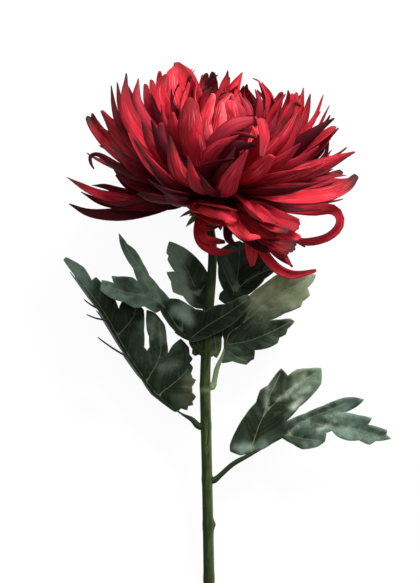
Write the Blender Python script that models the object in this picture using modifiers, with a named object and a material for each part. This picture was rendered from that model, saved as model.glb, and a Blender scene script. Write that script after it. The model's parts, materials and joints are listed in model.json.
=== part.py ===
"""A spider chrysanthemum, one cut flower lying on its side: bloom, calyx, stem and six lobed leaves.

Lengths are in millimetres until a mesh is made. The flower has a frame of its own: U to the right,
V up the stem, W away from the surface it lies on, with its zero at the stem under the bloom.
"""

import random
from math import acos, asin, cos, degrees, exp, hypot, pi, radians, sin

import bmesh
import bpy
from mathutils import Matrix, Vector
from mathutils.geometry import delaunay_2d_cdt

MM = 0.001

# Driving dimensions
BLOOM_REACH = 75.0
STEM_END = -231.0
STEM_RADIUS_TOP = 2.2
STEM_RADIUS_END = 3.0
RECEPTACLE_HEIGHT = 43.0
BOX_MIDDLE = Vector((9.5, -77.5))
SEAT_GAP = 0.3
PETAL_THICKNESS = 1.1
PETAL_CUP = 0.34
LEAF_THICKNESS = 0.7
SEED = 31

# The bloom's axis leans right and up from the surface. The receptacle is an egg round that axis.
BLOOM_AXIS = Vector((0.208, 0.907, 0.366)).normalized()
RECEPTACLE = Vector((3.5, 0.0, 3.0))
CORE_RADIUS = 17.0
CORE_HALF_LENGTH = 20.0
CORE_MIDDLE = RECEPTACLE + BLOOM_AXIS * 19.0
ROOT_DEPTH = 4.0

BLOOM_RIGHT = (Vector((1, 0, 0)) - BLOOM_AXIS * BLOOM_AXIS.x).normalized()
BLOOM_FRONT = BLOOM_RIGHT.cross(BLOOM_AXIS)

# The stem slopes from the receptacle down to its cut end, which touches the surface.
TILT = asin((RECEPTACLE_HEIGHT - 0.93 * STEM_RADIUS_END) / -STEM_END)
LEAN_UP = Vector((0, sin(TILT), cos(TILT)))

COLLECTION = bpy.data.collections.new("spider_chrysanthemum")


# Places

def to_world(point):
    """A point of the flower's frame, in metres, in the frame of the surface it lies on."""
    return Vector((
        point.x - BOX_MIDDLE.x,
        point.y * cos(TILT) - point.z * sin(TILT) - BOX_MIDDLE.y,
        point.y * sin(TILT) + point.z * cos(TILT) + RECEPTACLE_HEIGHT,
    )) * MM


def height_of(point):
    return RECEPTACLE_HEIGHT + point.dot(LEAN_UP)


def bloom_direction(polar, azimuth):
    """The direction at an angle from the bloom's axis; azimuth 0 is right and 90 the upper side."""
    outward = BLOOM_RIGHT * cos(radians(azimuth)) + BLOOM_FRONT * sin(radians(azimuth))
    return BLOOM_AXIS * cos(radians(polar)) + outward * sin(radians(polar))


def mix(first, second, share):
    return first + (second - first) * share


def ramp(start, end, value):
    share = min(1.0, max(0.0, (value - start) / (end - start)))
    return share * share * (3 - 2 * share)


def along(points, share):
    """A point of the smooth curve through points, at a share of its knots from 0 to 1."""
    place = share * (len(points) - 1)
    index = min(int(place), len(points) - 2)
    step = place - index
    here, there = points[index], points[index + 1]
    before = points[index - 1] if index else here * 2 - there
    after = points[index + 2] if index + 2 < len(points) else there * 2 - here
    return 0.5 * (
        2 * here
        + (there - before) * step
        + (2 * before - 5 * here + 4 * there - after) * step ** 2
        + (3 * here - before - 3 * there + after) * step ** 3
    )


def even_path(points, count):
    """The smooth curve through points, as count points at equal distances along it."""
    fine = [along(points, i / 96) for i in range(97)]
    lengths = [0.0]
    for first, second in zip(fine, fine[1:]):
        lengths.append(lengths[-1] + (second - first).length)
    result = []
    index = 0
    for i in range(count):
        target = lengths[-1] * i / (count - 1)
        while index < 95 and lengths[index + 1] < target:
            index += 1
        step = (target - lengths[index]) / max(1e-9, lengths[index + 1] - lengths[index])
        result.append(fine[index].lerp(fine[index + 1], min(1.0, step)))
    return result


# Objects

def material(name, colour, roughness):
    made = bpy.data.materials.new(name)
    made.use_nodes = True
    shader = made.node_tree.nodes["Principled BSDF"]
    shader.inputs["Base Color"].default_value = (*colour, 1)
    shader.inputs["Roughness"].default_value = roughness
    shader.inputs["Metallic"].default_value = 0.0
    return made


def add_object(name, points, faces, surface=None, home=None):
    mesh = bpy.data.meshes.new(name)
    mesh.from_pydata([to_world(point) for point in points], [], faces)
    mesh.validate()
    made = bpy.data.objects.new(name, mesh)
    (home or COLLECTION).objects.link(made)
    if surface:
        mesh.materials.append(surface)
    return made


def evaluated_mesh(thing):
    graph = bpy.context.evaluated_depsgraph_get()
    graph.update()
    return bpy.data.meshes.new_from_object(thing.evaluated_get(graph))


def largest_body(mesh):
    """Drops every loose scrap and every sealed hollow: only the biggest closed shell stays."""
    owners = {}
    for polygon in mesh.polygons:
        for edge in polygon.edge_keys:
            owners.setdefault(edge, []).append(polygon.index)
    label = [-1] * len(mesh.polygons)
    sizes = []
    for start in range(len(label)):
        if label[start] >= 0:
            continue
        mark = len(sizes)
        label[start] = mark
        stack = [start]
        low = mesh.polygons[start].center.copy()
        high = low.copy()
        while stack:
            polygon = mesh.polygons[stack.pop()]
            low = Vector(map(min, low, polygon.center))
            high = Vector(map(max, high, polygon.center))
            for edge in polygon.edge_keys:
                if len(owners[edge]) > 2:
                    continue
                for other in owners[edge]:
                    if label[other] < 0:
                        label[other] = mark
                        stack.append(other)
        sizes.append((high - low).length)
    keep = sizes.index(max(sizes))
    number = {}
    faces = []
    for polygon in mesh.polygons:
        if label[polygon.index] == keep:
            faces.append([number.setdefault(index, len(number)) for index in polygon.vertices])
    result = bpy.data.meshes.new(mesh.name)
    result.from_pydata([mesh.vertices[index].co for index in number], [], faces)
    return result


def join(body, others, solver):
    """Fuses the objects of a collection into body, as one closed shell, and removes them."""
    union = body.modifiers.new("union", "BOOLEAN")
    union.operation = "UNION"
    union.operand_type = "COLLECTION"
    union.collection = others
    union.solver = solver
    fused = largest_body(evaluated_mesh(body))
    body.modifiers.remove(union)
    for slot in body.data.materials:
        fused.materials.append(slot)
    body.data = fused
    for other in list(others.objects):
        bpy.data.objects.remove(other)
    bpy.data.collections.remove(others)


def tube(name, points, radii, surface, home=None, sides_setting=1):
    """A round tube along points, one radius for each, as a mesh with welded caps."""
    curve = bpy.data.curves.new(name, "CURVE")
    curve.dimensions = "3D"
    curve.bevel_depth = MM
    curve.bevel_resolution = sides_setting
    curve.use_fill_caps = True
    spline = curve.splines.new("POLY")
    spline.points.add(len(points) - 1)
    for knot, point, radius in zip(spline.points, points, radii):
        knot.co = (*to_world(point), 1)
        knot.radius = radius
    guide = bpy.data.objects.new(name, curve)
    (home or COLLECTION).objects.link(guide)
    mesh = evaluated_mesh(guide)
    bpy.data.objects.remove(guide)
    weld(mesh)
    mesh.materials.append(surface)
    made = bpy.data.objects.new(name, mesh)
    (home or COLLECTION).objects.link(made)
    return made


def weld(mesh):
    work = bmesh.new()
    work.from_mesh(mesh)
    bmesh.ops.remove_doubles(work, verts=work.verts, dist=1e-6)
    bmesh.ops.recalc_face_normals(work, faces=work.faces)
    work.to_mesh(mesh)
    work.free()


# Stem

STEM_LINE = [
    Vector((0.8, STEM_END, 0)),
    Vector((0.4, -193, 0)),
    Vector((-0.3, -154, 0)),
    Vector((-0.8, -122, 0)),
    Vector((-1.2, -88, 0)),
    Vector((0.2, -60, 0)),
    Vector((1.9, -38, 0)),
    Vector((2.3, -22, -0.4)),
    RECEPTACLE - BLOOM_AXIS * 12.0,
    RECEPTACLE - BLOOM_AXIS * 7.5,
]
NODE_PLACES = (-196, -168, -144, -116, -95, -77, -61)
NODE_SWELLING = 0.45
NODE_LENGTH = 2.4


def stem_radius(v):
    plain = mix(STEM_RADIUS_TOP, STEM_RADIUS_END, v / STEM_END)
    swelling = sum(exp(-(((v - place) / NODE_LENGTH) ** 2)) for place in NODE_PLACES)
    return plain + NODE_SWELLING * swelling


def stem_middle(v):
    """The point of the stem's centre line at height v along it."""
    for first, second in zip(STEM_LINE, STEM_LINE[1:]):
        if v <= second.y:
            break
    return first.lerp(second, (v - first.y) / (second.y - first.y))


def make_stem(surface):
    points = even_path(STEM_LINE, 48)
    radii = [stem_radius(point.y) for point in points]
    return tube("stem", points, radii, surface, sides_setting=3)


# Leaves. An outline and its ribs are drawn as they are seen from above, as (U, V).

LEAVES = {
    "leaf_lower_right": {
        "outline": [
            (11.6, -129.2), (11.4, -126), (15, -117.5), (19.4, -110.3), (25.2, -103.4), (27.3, -97.1),
            (31.5, -94.5), (38.3, -85.6), (41.8, -89.4), (46.5, -86.2), (53, -85.6), (59.3, -85.4),
            (59.3, -93.5), (55.5, -98.5), (47.8, -106), (40.9, -113.4), (51, -109.2), (60, -105.3),
            (70.4, -101.1), (76.5, -100.6), (81.6, -101.9), (77.5, -105.8), (71.9, -108.6),
            (78.5, -110), (85.6, -111.6), (83.7, -115), (93.7, -117.9), (93.2, -120.2), (95.8, -122.4),
            (87.6, -123.6), (84.4, -125.6), (79, -123.2), (73.2, -123.3), (68, -121.5), (64.8, -118.3),
            (62, -119.4), (61.2, -124), (57.1, -126.8), (49.2, -128), (44.4, -125.4), (39.1, -122.4),
            (36, -123.2), (30.2, -127.4), (24, -129.6), (17, -131.4),
        ],
        "ribs": [
            [(33.5, -124.8), (41, -120.5), (50, -113), (60, -109), (72, -104)],
            [(23.5, -125.3), (28.5, -112), (37, -102), (44.5, -95.5), (57.5, -87.5)],
            [(28.5, -112), (32, -101), (38, -88)],
            [(50, -113), (61, -115.5), (75, -117), (92, -121.5)],
            [(41, -120.5), (49, -122.5), (58, -123.5)],
        ],
        "stalk": [(13, -136, 1.2), (22, -131, 2.0), (33.5, -124.8, None)],
        "joint": (-144, 0),
        "base": (33.5, -124.8, 2.5),
        "slope": (0.10, 0.02),
        "keel": 0.16,
        "wave": (1.7, 19.0, 0.4),
    },
    "leaf_lower_left": {
        "outline": [
            (-75, -27.2), (-65.5, -32.5), (-61.3, -39.4), (-59, -37.7), (-55.5, -41.5), (-49, -49.4),
            (-47, -54.4), (-45.2, -50.3), (-35.5, -53.2), (-35, -64.6), (-35.3, -72.5), (-32, -76.6),
            (-31.2, -69), (-32, -55.2), (-27.8, -56.5), (-22.7, -63), (-21.6, -71.4), (-21, -78),
            (-18.4, -73.5), (-14.2, -70.1), (-9.8, -74.9), (-8.2, -80.3), (-9.4, -83), (-7.6, -86.5),
            (-8.6, -88.6), (-6.6, -91.8), (-8.6, -96.6), (-6.8, -100.6), (-8.6, -103.8), (-10.8, -107.6),
            (-18, -109.4), (-30, -108), (-43, -104), (-40, -96), (-52, -98), (-62, -90), (-51, -82),
            (-63, -80), (-77, -68), (-65, -64), (-62, -58), (-74, -56), (-85, -43), (-74, -43),
            (-71.5, -38), (-79.5, -30),
        ],
        "ribs": [
            [(-15.3, -108.7), (-28, -98.2), (-41.5, -79), (-54.2, -57.2), (-65.1, -42), (-74.6, -28.2)],
            [(-26, -99.8), (-16, -92), (-9, -85)],
            [(-32, -92.5), (-25, -78), (-25.5, -62)],
            [(-47.5, -68.8), (-40, -60), (-38, -55)],
        ],
        "stalk": [(-8.5, -112.5, -0.4), (-15.3, -108.7, None)],
        "joint": (-116, 180),
        "base": (-15.3, -108.7, -1.0),
        "slope": (0.07, -0.05),
        "keel": 0.10,
        "wave": (1.5, 21.0, 1.1),
        "fold_left": 78.0,
        "fold_right": 6.0,
    },
    "leaf_upper_left": {
        "outline": [
            (-46.6, -14.8), (-42.2, -20.6), (-38.1, -23.6), (-34, -30.5), (-30.6, -37.3), (-25.2, -43.6),
            (-20.3, -49.0), (-15.2, -49.4), (-10.5, -52.2), (-6.6, -54.6), (-1.1, -55.7), (2.6, -53),
            (8.4, -52), (13.1, -50.4), (17.3, -48), (20.7, -46.9), (22.8, -50.4), (20, -54.6),
            (15.8, -59.9), (8.4, -65.2), (1.6, -68.4), (-4.2, -71), (-8.4, -71.8), (-14.2, -69.2),
            (-17.9, -65.6), (-22.1, -60.3), (-24.9, -55.4), (-27.1, -56.6), (-33.3, -53.2),
            (-38.1, -54), (-43.6, -50.9), (-49, -49.6), (-56.2, -44.8), (-55.5, -39.4), (-49.3, -41),
            (-50.4, -37.2), (-47.5, -37.6), (-39.4, -38), (-36.6, -40.2), (-39.1, -33.2),
            (-43.2, -27.1), (-45.9, -20.6),
        ],
        "ribs": [
            [(-9.8, -70.4), (-16.3, -63.5), (-21.8, -55), (-30, -48.5), (-42, -46), (-53.5, -42.5)],
            [(-21.8, -55), (-29.5, -41.5), (-38.5, -29), (-44, -20)],
            [(-9.8, -70.4), (0, -63), (10, -57), (20.5, -49.5)],
            [(-13, -67), (-13.5, -59), (-12.5, -53)],
        ],
        "stalk": [(-7.8, -72.6, 2.2), (-9.8, -70.4, None)],
        "joint": (-77, 150),
        "base": (-9.8, -70.4, 5.4),
        "slope": (0.03, 0.11),
        "keel": 0.15,
        "wave": (1.4, 17.0, 2.0),
    },
    "leaf_back_left": {
        "outline": [
            (-20.5, -18.9), (-14.6, -21.2), (-11, -23.3), (-5.3, -28.4), (-1, -34.1), (2.3, -41),
            (2.6, -48.8), (-0.6, -54.6), (-6.3, -54.2), (-9.5, -52.5), (-13.1, -47.8), (-18.4, -45.7),
            (-19.6, -40), (-21.9, -35.2), (-17.6, -34.9), (-21.4, -28.6), (-20.8, -26.6), (-22, -25),
        ],
        "ribs": [
            [(-2.6, -53.2), (-6.8, -43), (-12.4, -31.5), (-19.6, -20.2)],
            [(-4.8, -48), (-12.5, -42.5), (-19.8, -36.8)],
            [(-4.8, -48), (-1.5, -41.5)],
        ],
        "stalk": [(-2.4, -58, -5.4), (-2.6, -53.2, None)],
        "joint": (-61, 245),
        "base": (-2.6, -53.2, -5.6),
        "slope": (0.10, -0.06),
        "keel": 0.16,
        "wave": (0.9, 17.0, 0.0),
    },
    "leaf_right": {
        "outline": [
            (21.8, -47.4), (29.5, -41.4), (38.3, -35.4), (47, -35.6), (56.9, -36.5), (55.2, -40.5),
            (52.4, -43.4), (53.6, -47.6), (49.8, -50.6), (48.8, -53.5), (40.4, -56.9), (32.8, -60.6),
            (38, -60.2), (43.3, -59.7), (45.6, -61.1), (41.9, -65.2), (41, -68), (37.6, -69.7),
            (36.8, -72.5), (31.7, -75.1), (24.7, -76.3), (24.2, -81.1), (22.6, -81.8), (20.1, -83.9),
            (12.9, -82.1), (7.2, -83.2), (8.6, -77.5), (8.4, -70.9), (7.2, -65), (10.5, -57.2),
            (15.8, -51.6),
        ],
        "ribs": [
            [(9.3, -73.6), (11.5, -67.2), (17.9, -62.7), (29.9, -52.5), (41.5, -44.6), (54.5, -38)],
            [(9.3, -73.6), (22, -71.2), (33, -66.8), (43.8, -61.3)],
            [(9.3, -75.6), (14.5, -79.6), (20, -82)],
            [(17.9, -62.7), (22, -55.5), (29, -46.5)],
        ],
        "stalk": [(4.6, -86.2, -2.4), (7.4, -79.5, -3.6), (9.3, -73.6, None)],
        "joint": (-95, -25),
        "base": (9.3, -73.6, -4.6),
        "slope": (-0.05, 0.02),
        "keel": 0.13,
        "wave": (1.5, 18.0, 2.6),
    },
    "leaf_back_right": {
        "outline": [
            (4.4, -24.7), (10.5, -20.5), (16.8, -18.6), (21, -21.8), (25.6, -21.5), (32.6, -27.4),
            (36.8, -32.2), (35, -34.9), (30, -38.6), (28.4, -41), (21, -47.4), (16.8, -51.5),
            (12.6, -52.7), (8.4, -51.7), (5.6, -49.4), (6.2, -46.4), (8.1, -44.6), (5.6, -38.5),
            (5.4, -32),
        ],
        "ribs": [
            [(12.2, -51), (13.8, -46), (16, -34.1), (16.8, -21)],
            [(13.8, -46), (22, -38.6), (34.6, -32.9)],
            [(13.8, -46), (9.4, -37), (6.4, -27.5)],
        ],
        "stalk": [(7.6, -56.6, -8.2), (12.2, -51, None)],
        "joint": (-62, 300),
        "base": (12.2, -51, -10.0),
        "slope": (-0.08, -0.05),
        "keel": 0.15,
        "wave": (0.9, 16.0, 1.4),
    },
}
BLADE_SPACING = 6.5
EDGE_CLEARANCE = 2.2
RIB_STEP = 6.0
FOLD_ROUNDING = 1.2


def nearest_on_line(point, line):
    """(distance, side, foot) of a flat point from a line of flat points; side is +1 on its right."""
    best = None
    for first, second in zip(line, line[1:]):
        run = second - first
        share = min(1.0, max(0.0, (point - first).dot(run) / run.length_squared))
        foot = first.lerp(second, share)
        gap = (point - foot).length
        if best is None or gap < best[0]:
            side = 1.0 if run.x * (point.y - first.y) - run.y * (point.x - first.x) < 0 else -1.0
            best = (gap, side, foot)
    return best


def inside(point, outline):
    result = False
    for first, second in zip(outline, outline[1:] + outline[:1]):
        if (first.y > point.y) != (second.y > point.y):
            if point.x < first.x + (point.y - first.y) / (second.y - first.y) * (second.x - first.x):
                result = not result
    return result


def leaf_surface(leaf):
    """A function from a flat (U, V) point of the leaf to its place in space."""
    ribs = [[Vector(knot) for knot in rib] for rib in leaf["ribs"]]
    base_u, base_v, base_w = leaf["base"]
    slope_u, slope_v = leaf["slope"]
    wave, wave_length, wave_start = leaf["wave"]
    fold_left = radians(leaf.get("fold_left", 0.0))
    fold_right = radians(leaf.get("fold_right", 0.0))

    def place(flat):
        gap, side, foot = nearest_on_line(flat, ribs[0])
        fold = (fold_right if side > 0 else fold_left) * gap / (gap + FOLD_ROUNDING)
        spread = foot + (flat - foot) * cos(fold)
        rib_gap = min(nearest_on_line(flat, rib)[0] for rib in ribs)
        w = base_w + slope_u * (foot.x - base_u) + slope_v * (foot.y - base_v)
        w += (slope_u * (flat.x - foot.x) + slope_v * (flat.y - foot.y)) * cos(fold)
        w -= gap * sin(fold)
        ripple = sin(2 * pi * (flat.x * 0.8 + flat.y * 0.6) / wave_length + wave_start)
        w += (leaf["keel"] * rib_gap + wave * ripple * min(1.0, rib_gap / 7)) * cos(fold)
        return Vector((spread.x, spread.y, w))

    return place


def leaf_blade(leaf):
    """Points and triangles of the leaf's open surface."""
    outline = [Vector(knot) for knot in leaf["outline"]]
    ribs = [[Vector(knot) for knot in rib] for rib in leaf["ribs"]]
    flat = list(outline)
    for rib in ribs:
        for knot in rib[1:]:
            if all((knot - other).length > EDGE_CLEARANCE for other in flat):
                flat.append(knot)
    low_u = min(knot.x for knot in outline)
    low_v = min(knot.y for knot in outline)
    high_u = max(knot.x for knot in outline)
    high_v = max(knot.y for knot in outline)
    row = 0
    v = low_v
    while v < high_v:
        u = low_u + (row % 2) * BLADE_SPACING / 2
        while u < high_u:
            spot = Vector((u, v))
            far = all((spot - other).length > EDGE_CLEARANCE + 1.3 for other in flat)
            if far and inside(spot, outline) and nearest_on_line(spot, outline + outline[:1])[0] > 1.5:
                flat.append(spot)
            u += BLADE_SPACING
        v += BLADE_SPACING * 0.87
        row += 1
    count = len(outline)
    edges = [(i, (i + 1) % count) for i in range(count)]
    flat, _, faces, _, _, _ = delaunay_2d_cdt(flat, edges, [list(range(count))], 1, 1e-4)
    place = leaf_surface(leaf)
    return [place(knot) for knot in flat], [list(face) for face in faces]


def make_leaf(name, leaf, surface):
    points, faces = leaf_blade(leaf)
    blade = add_object(name, points, faces, surface)
    thick = blade.modifiers.new("thickness", "SOLIDIFY")
    thick.thickness = LEAF_THICKNESS * MM
    thick.offset = 0.0
    solid = evaluated_mesh(blade)
    blade.modifiers.remove(thick)
    weld(solid)
    split_faces(solid)
    blade.data = solid

    place = leaf_surface(leaf)
    v, azimuth = leaf["joint"]
    outward = Vector((cos(radians(azimuth)), 0, sin(radians(azimuth))))
    start = stem_middle(v) + outward * (stem_radius(v) + SEAT_GAP)
    line = [start, start + outward * 1.2]
    for u, v, w in leaf["stalk"]:
        line.append(Vector((u, v, w)) if w is not None else place(Vector((u, v))))
    rib = [place(Vector(knot)) - Vector((0, 0, 0.35)) for knot in leaf["ribs"][0]]
    line += rib[1:-1]
    radii = [mix(1.45, 0.5, ramp(1, len(line) - 1, i)) for i in range(len(line))]
    helpers = bpy.data.collections.new(name + "_stalk")
    bpy.context.scene.collection.children.link(helpers)
    tube(name + "_rib", line, radii, surface, home=helpers)
    join(blade, helpers, "EXACT")
    return blade


def split_faces(mesh):
    work = bmesh.new()
    work.from_mesh(mesh)
    bmesh.ops.triangulate(work, faces=work.faces)
    work.to_mesh(mesh)
    work.free()


# Bloom. The petals that show by themselves are placed one by one: the points of a petal's middle
# line from near its root to its tip, its width, how far its inner face turns up, and its tip.

PLACED_PETALS = [
    # left side, from the bottom up
    ([(-22, 1, 14), (-36, -2, 16), (-50, -4, 15), (-72.7, 0.2, 10)], 12, -50, "point"),
    ([(-20, 6, 12), (-40, 3.5, 18), (-60, 8, 18), (-73.7, 14.2, 13)], 10, 50, "point"),
    ([(-24, 8, 6), (-44, 5, 6), (-61, 10.5, 2)], 8, 40, "point"),
    ([(-22, 10, 20), (-40, 12, 29), (-53, 19, 32), (-60.5, 26, 30), (-58.5, 18, 35)], 8, -45, "point"),
    ([(-18, 12, 8), (-40, 16, 10), (-55, 27, 14), (-62.2, 46.7, 17)], 9, 40, "notch"),
    ([(-18, 16, 20), (-36, 22, 28), (-50, 35, 30), (-55.2, 48.5, 28)], 9, -50, "round"),
    ([(-14, 22, 6), (-32, 28, 6), (-46, 42, 10), (-50.4, 61.7, 16)], 6, 45, "point"),
    ([(-10, 26, 14), (-27, 32, 20), (-40, 46, 22), (-44.5, 65.8, 22)], 10, 50, "notch"),
    ([(-8, 28, 22), (-22, 34, 30), (-33, 47, 33), (-36, 64.6, 31)], 7, -45, "point"),
    ([(-8, 28, 10), (-20, 36, 12), (-30, 49, 14), (-33.3, 62, 15)], 7, 50, "round"),
    # crown, from left to right
    ([(-4, 32, 8), (-15, 42, 8), (-23, 53, 10), (-26.5, 63, 14)], 7, 40, "point"),
    ([(2, 34, 10), (-6, 46, 10), (-13, 60, 14), (-19.5, 73.4, 20), (-22, 70.5, 24)], 12, 0, "round"),
    ([(6, 36, 6), (0, 48, 4), (-5, 60, 6), (-8, 70.4, 10)], 6, 30, "point"),
    ([(8, 38, 8), (4, 48, 6), (0, 59, 8), (2.1, 69.3, 14)], 9, 10, "round"),
    ([(10, 38, 4), (9, 50, 2), (8, 60, 4), (10.3, 69.8, 9)], 8, 0, "point"),
    ([(14, 36, 6), (17, 48, 4), (17, 60, 8), (17.9, 68.8, 13)], 7, 0, "point"),
    ([(-4, 20, 30), (-9, 29, 37), (-11, 41, 42), (-8.5, 52.5, 41)], 9, 0, "round"),
    ([(-6, 26, 26), (-16, 33, 33), (-22, 42, 36), (-23.6, 50.7, 35)], 7, 0, "point"),
    ([(-5, 24, 30), (-13, 30, 38), (-17.5, 38, 42), (-18, 46, 42)], 7, 0, "point"),
    # right, from the top down
    ([(16, 36, 14), (22, 46, 16), (24, 57, 20), (23.1, 65.3, 25)], 6, 35, "point"),
    ([(18, 34, 10), (26, 43, 10), (30.5, 54, 14), (28.2, 63.6, 18)], 7, 45, "point"),
    ([(18, 34, 20), (25, 42, 26), (27, 51, 30), (24.2, 59, 32)], 6, -30, "point"),
    ([(20, 32, 14), (30, 40, 18), (35, 49, 22), (33.1, 55.4, 26)], 7, 40, "point"),
    ([(22, 30, 6), (33, 39, 4), (42, 50, 8), (43, 58, 11), (39.6, 56.4, 14)], 7, 50, "point"),
    ([(22, 28, 16), (33, 33, 22), (42, 42, 26), (46.4, 52.4, 26), (43.2, 56.6, 27)], 8, -50, "round"),
    ([(24, 28, 4), (37, 35, 2), (46, 47, 4), (49.7, 60.7, 10)], 6, 45, "point"),
    ([(24, 26, 12), (38, 31, 14), (50, 41, 18), (53, 57, 19)], 9, 50, "point"),
    ([(24, 24, 2), (40, 30, 0), (54, 42, 2), (60.5, 57.4, 8)], 7, 40, "point"),
    ([(26, 22, 8), (42, 26, 8), (56, 37, 12), (63.4, 52, 14)], 6, -40, "point"),
    ([(26, 20, 20), (40, 23, 26), (53, 33, 30), (65.1, 43.6, 28)], 9, -45, "point"),
    ([(26, 18, 26), (40, 20, 33), (54, 27, 36), (66.2, 39.4, 33)], 8, 45, "round"),
    ([(26, 16, 16), (42, 18, 20), (56, 24, 22), (63, 35.2, 21)], 5, 40, "point"),
    ([(26, 14, 10), (42, 15, 12), (57, 19, 14), (65, 28, 14)], 6, 50, "point"),
    ([(25, 12, 20), (42, 11, 27), (60, 16, 28), (75.8, 26.4, 23)], 11, -50, "notch"),
    ([(25, 9, 12), (44, 8, 14), (60, 10, 15), (71.7, 15, 14)], 7, 50, "point"),
    ([(24, 6, 8), (42, 5, 8), (56, 7, 7), (66.2, 11.8, 6)], 5, 30, "point"),
    ([(22, 5, 26), (38, 2.5, 33), (58, 4, 32), (77.1, 14.3, 25)], 10, 60, "round"),
    (
        [(20, 2, 22), (38, -3, 27), (56, -4, 27), (66.5, -5, 24), (62.5, -14.5, 24), (50, -19, 27),
         (36, -15.5, 32)],
        7, 45, "round",
    ),
    # upper side, which looks at the viewer
    ([(14, 10, 34), (24, 9, 46), (31, 14, 53), (32.6, 23.6, 53)], 9, 0, "point"),
    ([(9, 8, 34), (8.5, 2.5, 47), (11, 10, 58), (19.7, 25.3, 60)], 10, 10, "point"),
    ([(14, 14, 36), (21, 11, 48), (26, 14, 56), (26.8, 23, 58)], 8, 0, "point"),
    ([(-4, 8, 32), (-11, 9, 45), (-17, 18, 53), (-19.6, 33, 53)], 9, 0, "point"),
    ([(-10, 10, 26), (-22, 12, 37), (-31, 18, 43), (-35.7, 29.6, 43)], 8, 0, "point"),
    ([(12, 32, 30), (16, 40, 36), (23.5, 42.5, 42), (26.8, 34, 47), (26, 23.6, 50)], 8, 0, "round"),
    ([(10, 26, 36), (15, 31, 42), (24, 33, 46), (31, 31, 47)], 9, 0, "round"),
    ([(16, 8, 30), (27, 8, 40), (39, 10, 44), (49.4, 16.6, 42)], 9, 0, "point"),
    ([(0, 8, 34), (-3, 4, 47), (-6, 12, 58), (-8, 28, 60)], 10, 0, "point"),
    ([(4, 12, 36), (4, 9, 50), (2, 18, 60), (-1, 34, 61)], 9, 0, "point"),
    ([(-8, 4, 26), (-20, 2, 37), (-32, 5, 42), (-44, 13, 40)], 9, 0, "point"),
    # lower right, hanging
    ([(14, 2, 28), (24, -2, 38), (36, -6, 43), (46.8, -10.6, 43)], 11, -35, "square"),
    ([(4, 0, 26), (6, -5, 34), (12, -8, 41), (22, -9, 44)], 9, -30, "round"),
    ([(2, 0, 20), (-4, -8, 25), (-3, -19, 27), (5, -25, 28), (15.8, -23.6, 30)], 7, 30, "point"),
    ([(9, 0, 22), (12, -8, 30), (17, -15, 33), (21, -19.5, 33)], 10, 0, "round"),
    ([(14, 0, 17), (19, -10, 22), (22.4, -21, 22), (22.6, -32.4, 19)], 5, 0, "round"),
    ([(16, 0, 14), (23, -14, 20), (32.5, -30, 20), (43, -36.2, 18), (56.4, -34.3, 16)], 5, 55, "round"),
    ([(18, 0, 10), (27, -13, 14), (36, -25, 13), (43.2, -32.8, 11)], 4.5, 20, "point"),
    ([(20, 0, 14), (30, -9, 20), (41, -17, 21), (50.5, -22.4, 19)], 8, 0, "point"),
    ([(18, 0, 20), (26, -9, 28), (35, -18, 30), (42, -23, 28)], 10, -20, "round"),
    ([(12, 0, 24), (17, -8, 33), (25, -14, 38), (34, -17, 39)], 9, -20, "point"),
]

# Long rim petals on the under side, which the flower lies on: they spread along the surface.
RESTING_AZIMUTHS = (216, 229, 241, 253, 264, 276, 287, 299, 311, 324)
RESTING_LENGTH = 76.0
RESTING_WIDTH = 9.5
RESTING_ROOT_ANGLE = 122
RESTING_START_ANGLE = 106
RESTING_BEND = 22

# The rest follow the spiral in which the florets of a head stand, from its rim to its middle.
FILL_PETALS = 74
GOLDEN_ANGLE = 137.508
# Each pair is a value at the rim and at the middle of the head, angles being from the bloom's axis.
ROOT_ANGLES = (136, 8)
START_ANGLES = (110, 26)
BENDS = (34, 118)
FILL_WIDTHS = (9.5, 8.5)
RIM_LENGTH = 70
HALFWAY_LENGTH = 58
MIDDLE_LENGTH = 31
MOST_TURN = 45
# How far the bloom reaches from OUTLINE_MIDDLE, seen from above: (degrees from right, reach).
OUTLINE_MIDDLE = Vector((0.0, 20.0))
OUTLINE_REACH = [
    (-180, 70), (-156, 62), (-147, 44), (-137, 33), (-99, 32), (-75, 46), (-44, 72), (-20, 70),
    (-4, 76), (12, 74), (32, 68), (60, 46), (90, 50), (107, 55), (134, 62), (160, 62), (180, 70),
]
REACH_SHARE = 0.95
PATH_STEPS = 24
BEND_POWER = 1.5
PLACED_POINTS = 49
MANY_TURNS = 130
FLOOR_NEAR = 5.0
FLOOR_FAR = 13.0
SPIRAL_STATIONS = (0.0, 0.33, 0.6, 0.83, 1.0)
PETAL_STATIONS = (0.0, 0.25, 0.47, 0.67, 0.85, 1.0)
CURLED_STATIONS = (0.0, 0.16, 0.31, 0.45, 0.58, 0.7, 0.81, 0.91, 1.0)
FLOOR_CLEARANCE = 0.45
ROOT_SHARE = 0.42
WIDEST_AT = 0.62
NOTCH_DEPTH = 0.35
# For each kind of tip, the share of the width left at its end and how late the taper comes.
TIPS = {"point": (0.10, 1.5), "round": (0.42, 2.6), "notch": (0.72, 3.0), "square": (0.85, 4.0)}


def core_point(direction, depth):
    """The point depth millimetres under the core's surface, in a direction from its middle."""
    lengthwise = direction.dot(BLOOM_AXIS)
    across = (1 - min(1.0, lengthwise ** 2)) ** 0.5
    reach = 1 / hypot(lengthwise / CORE_HALF_LENGTH, across / CORE_RADIUS)
    return CORE_MIDDLE + direction * (reach - depth)


def outline_reach(flat):
    away = flat - OUTLINE_MIDDLE
    if away.length < 1e-6:
        return BLOOM_REACH
    angle = degrees(acos(max(-1.0, min(1.0, away.x / away.length))))
    angle = angle if away.y >= 0 else -angle
    for (first, near), (second, far) in zip(OUTLINE_REACH, OUTLINE_REACH[1:]):
        if angle <= second:
            break
    return mix(near, far, (angle - first) / (second - first))


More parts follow.
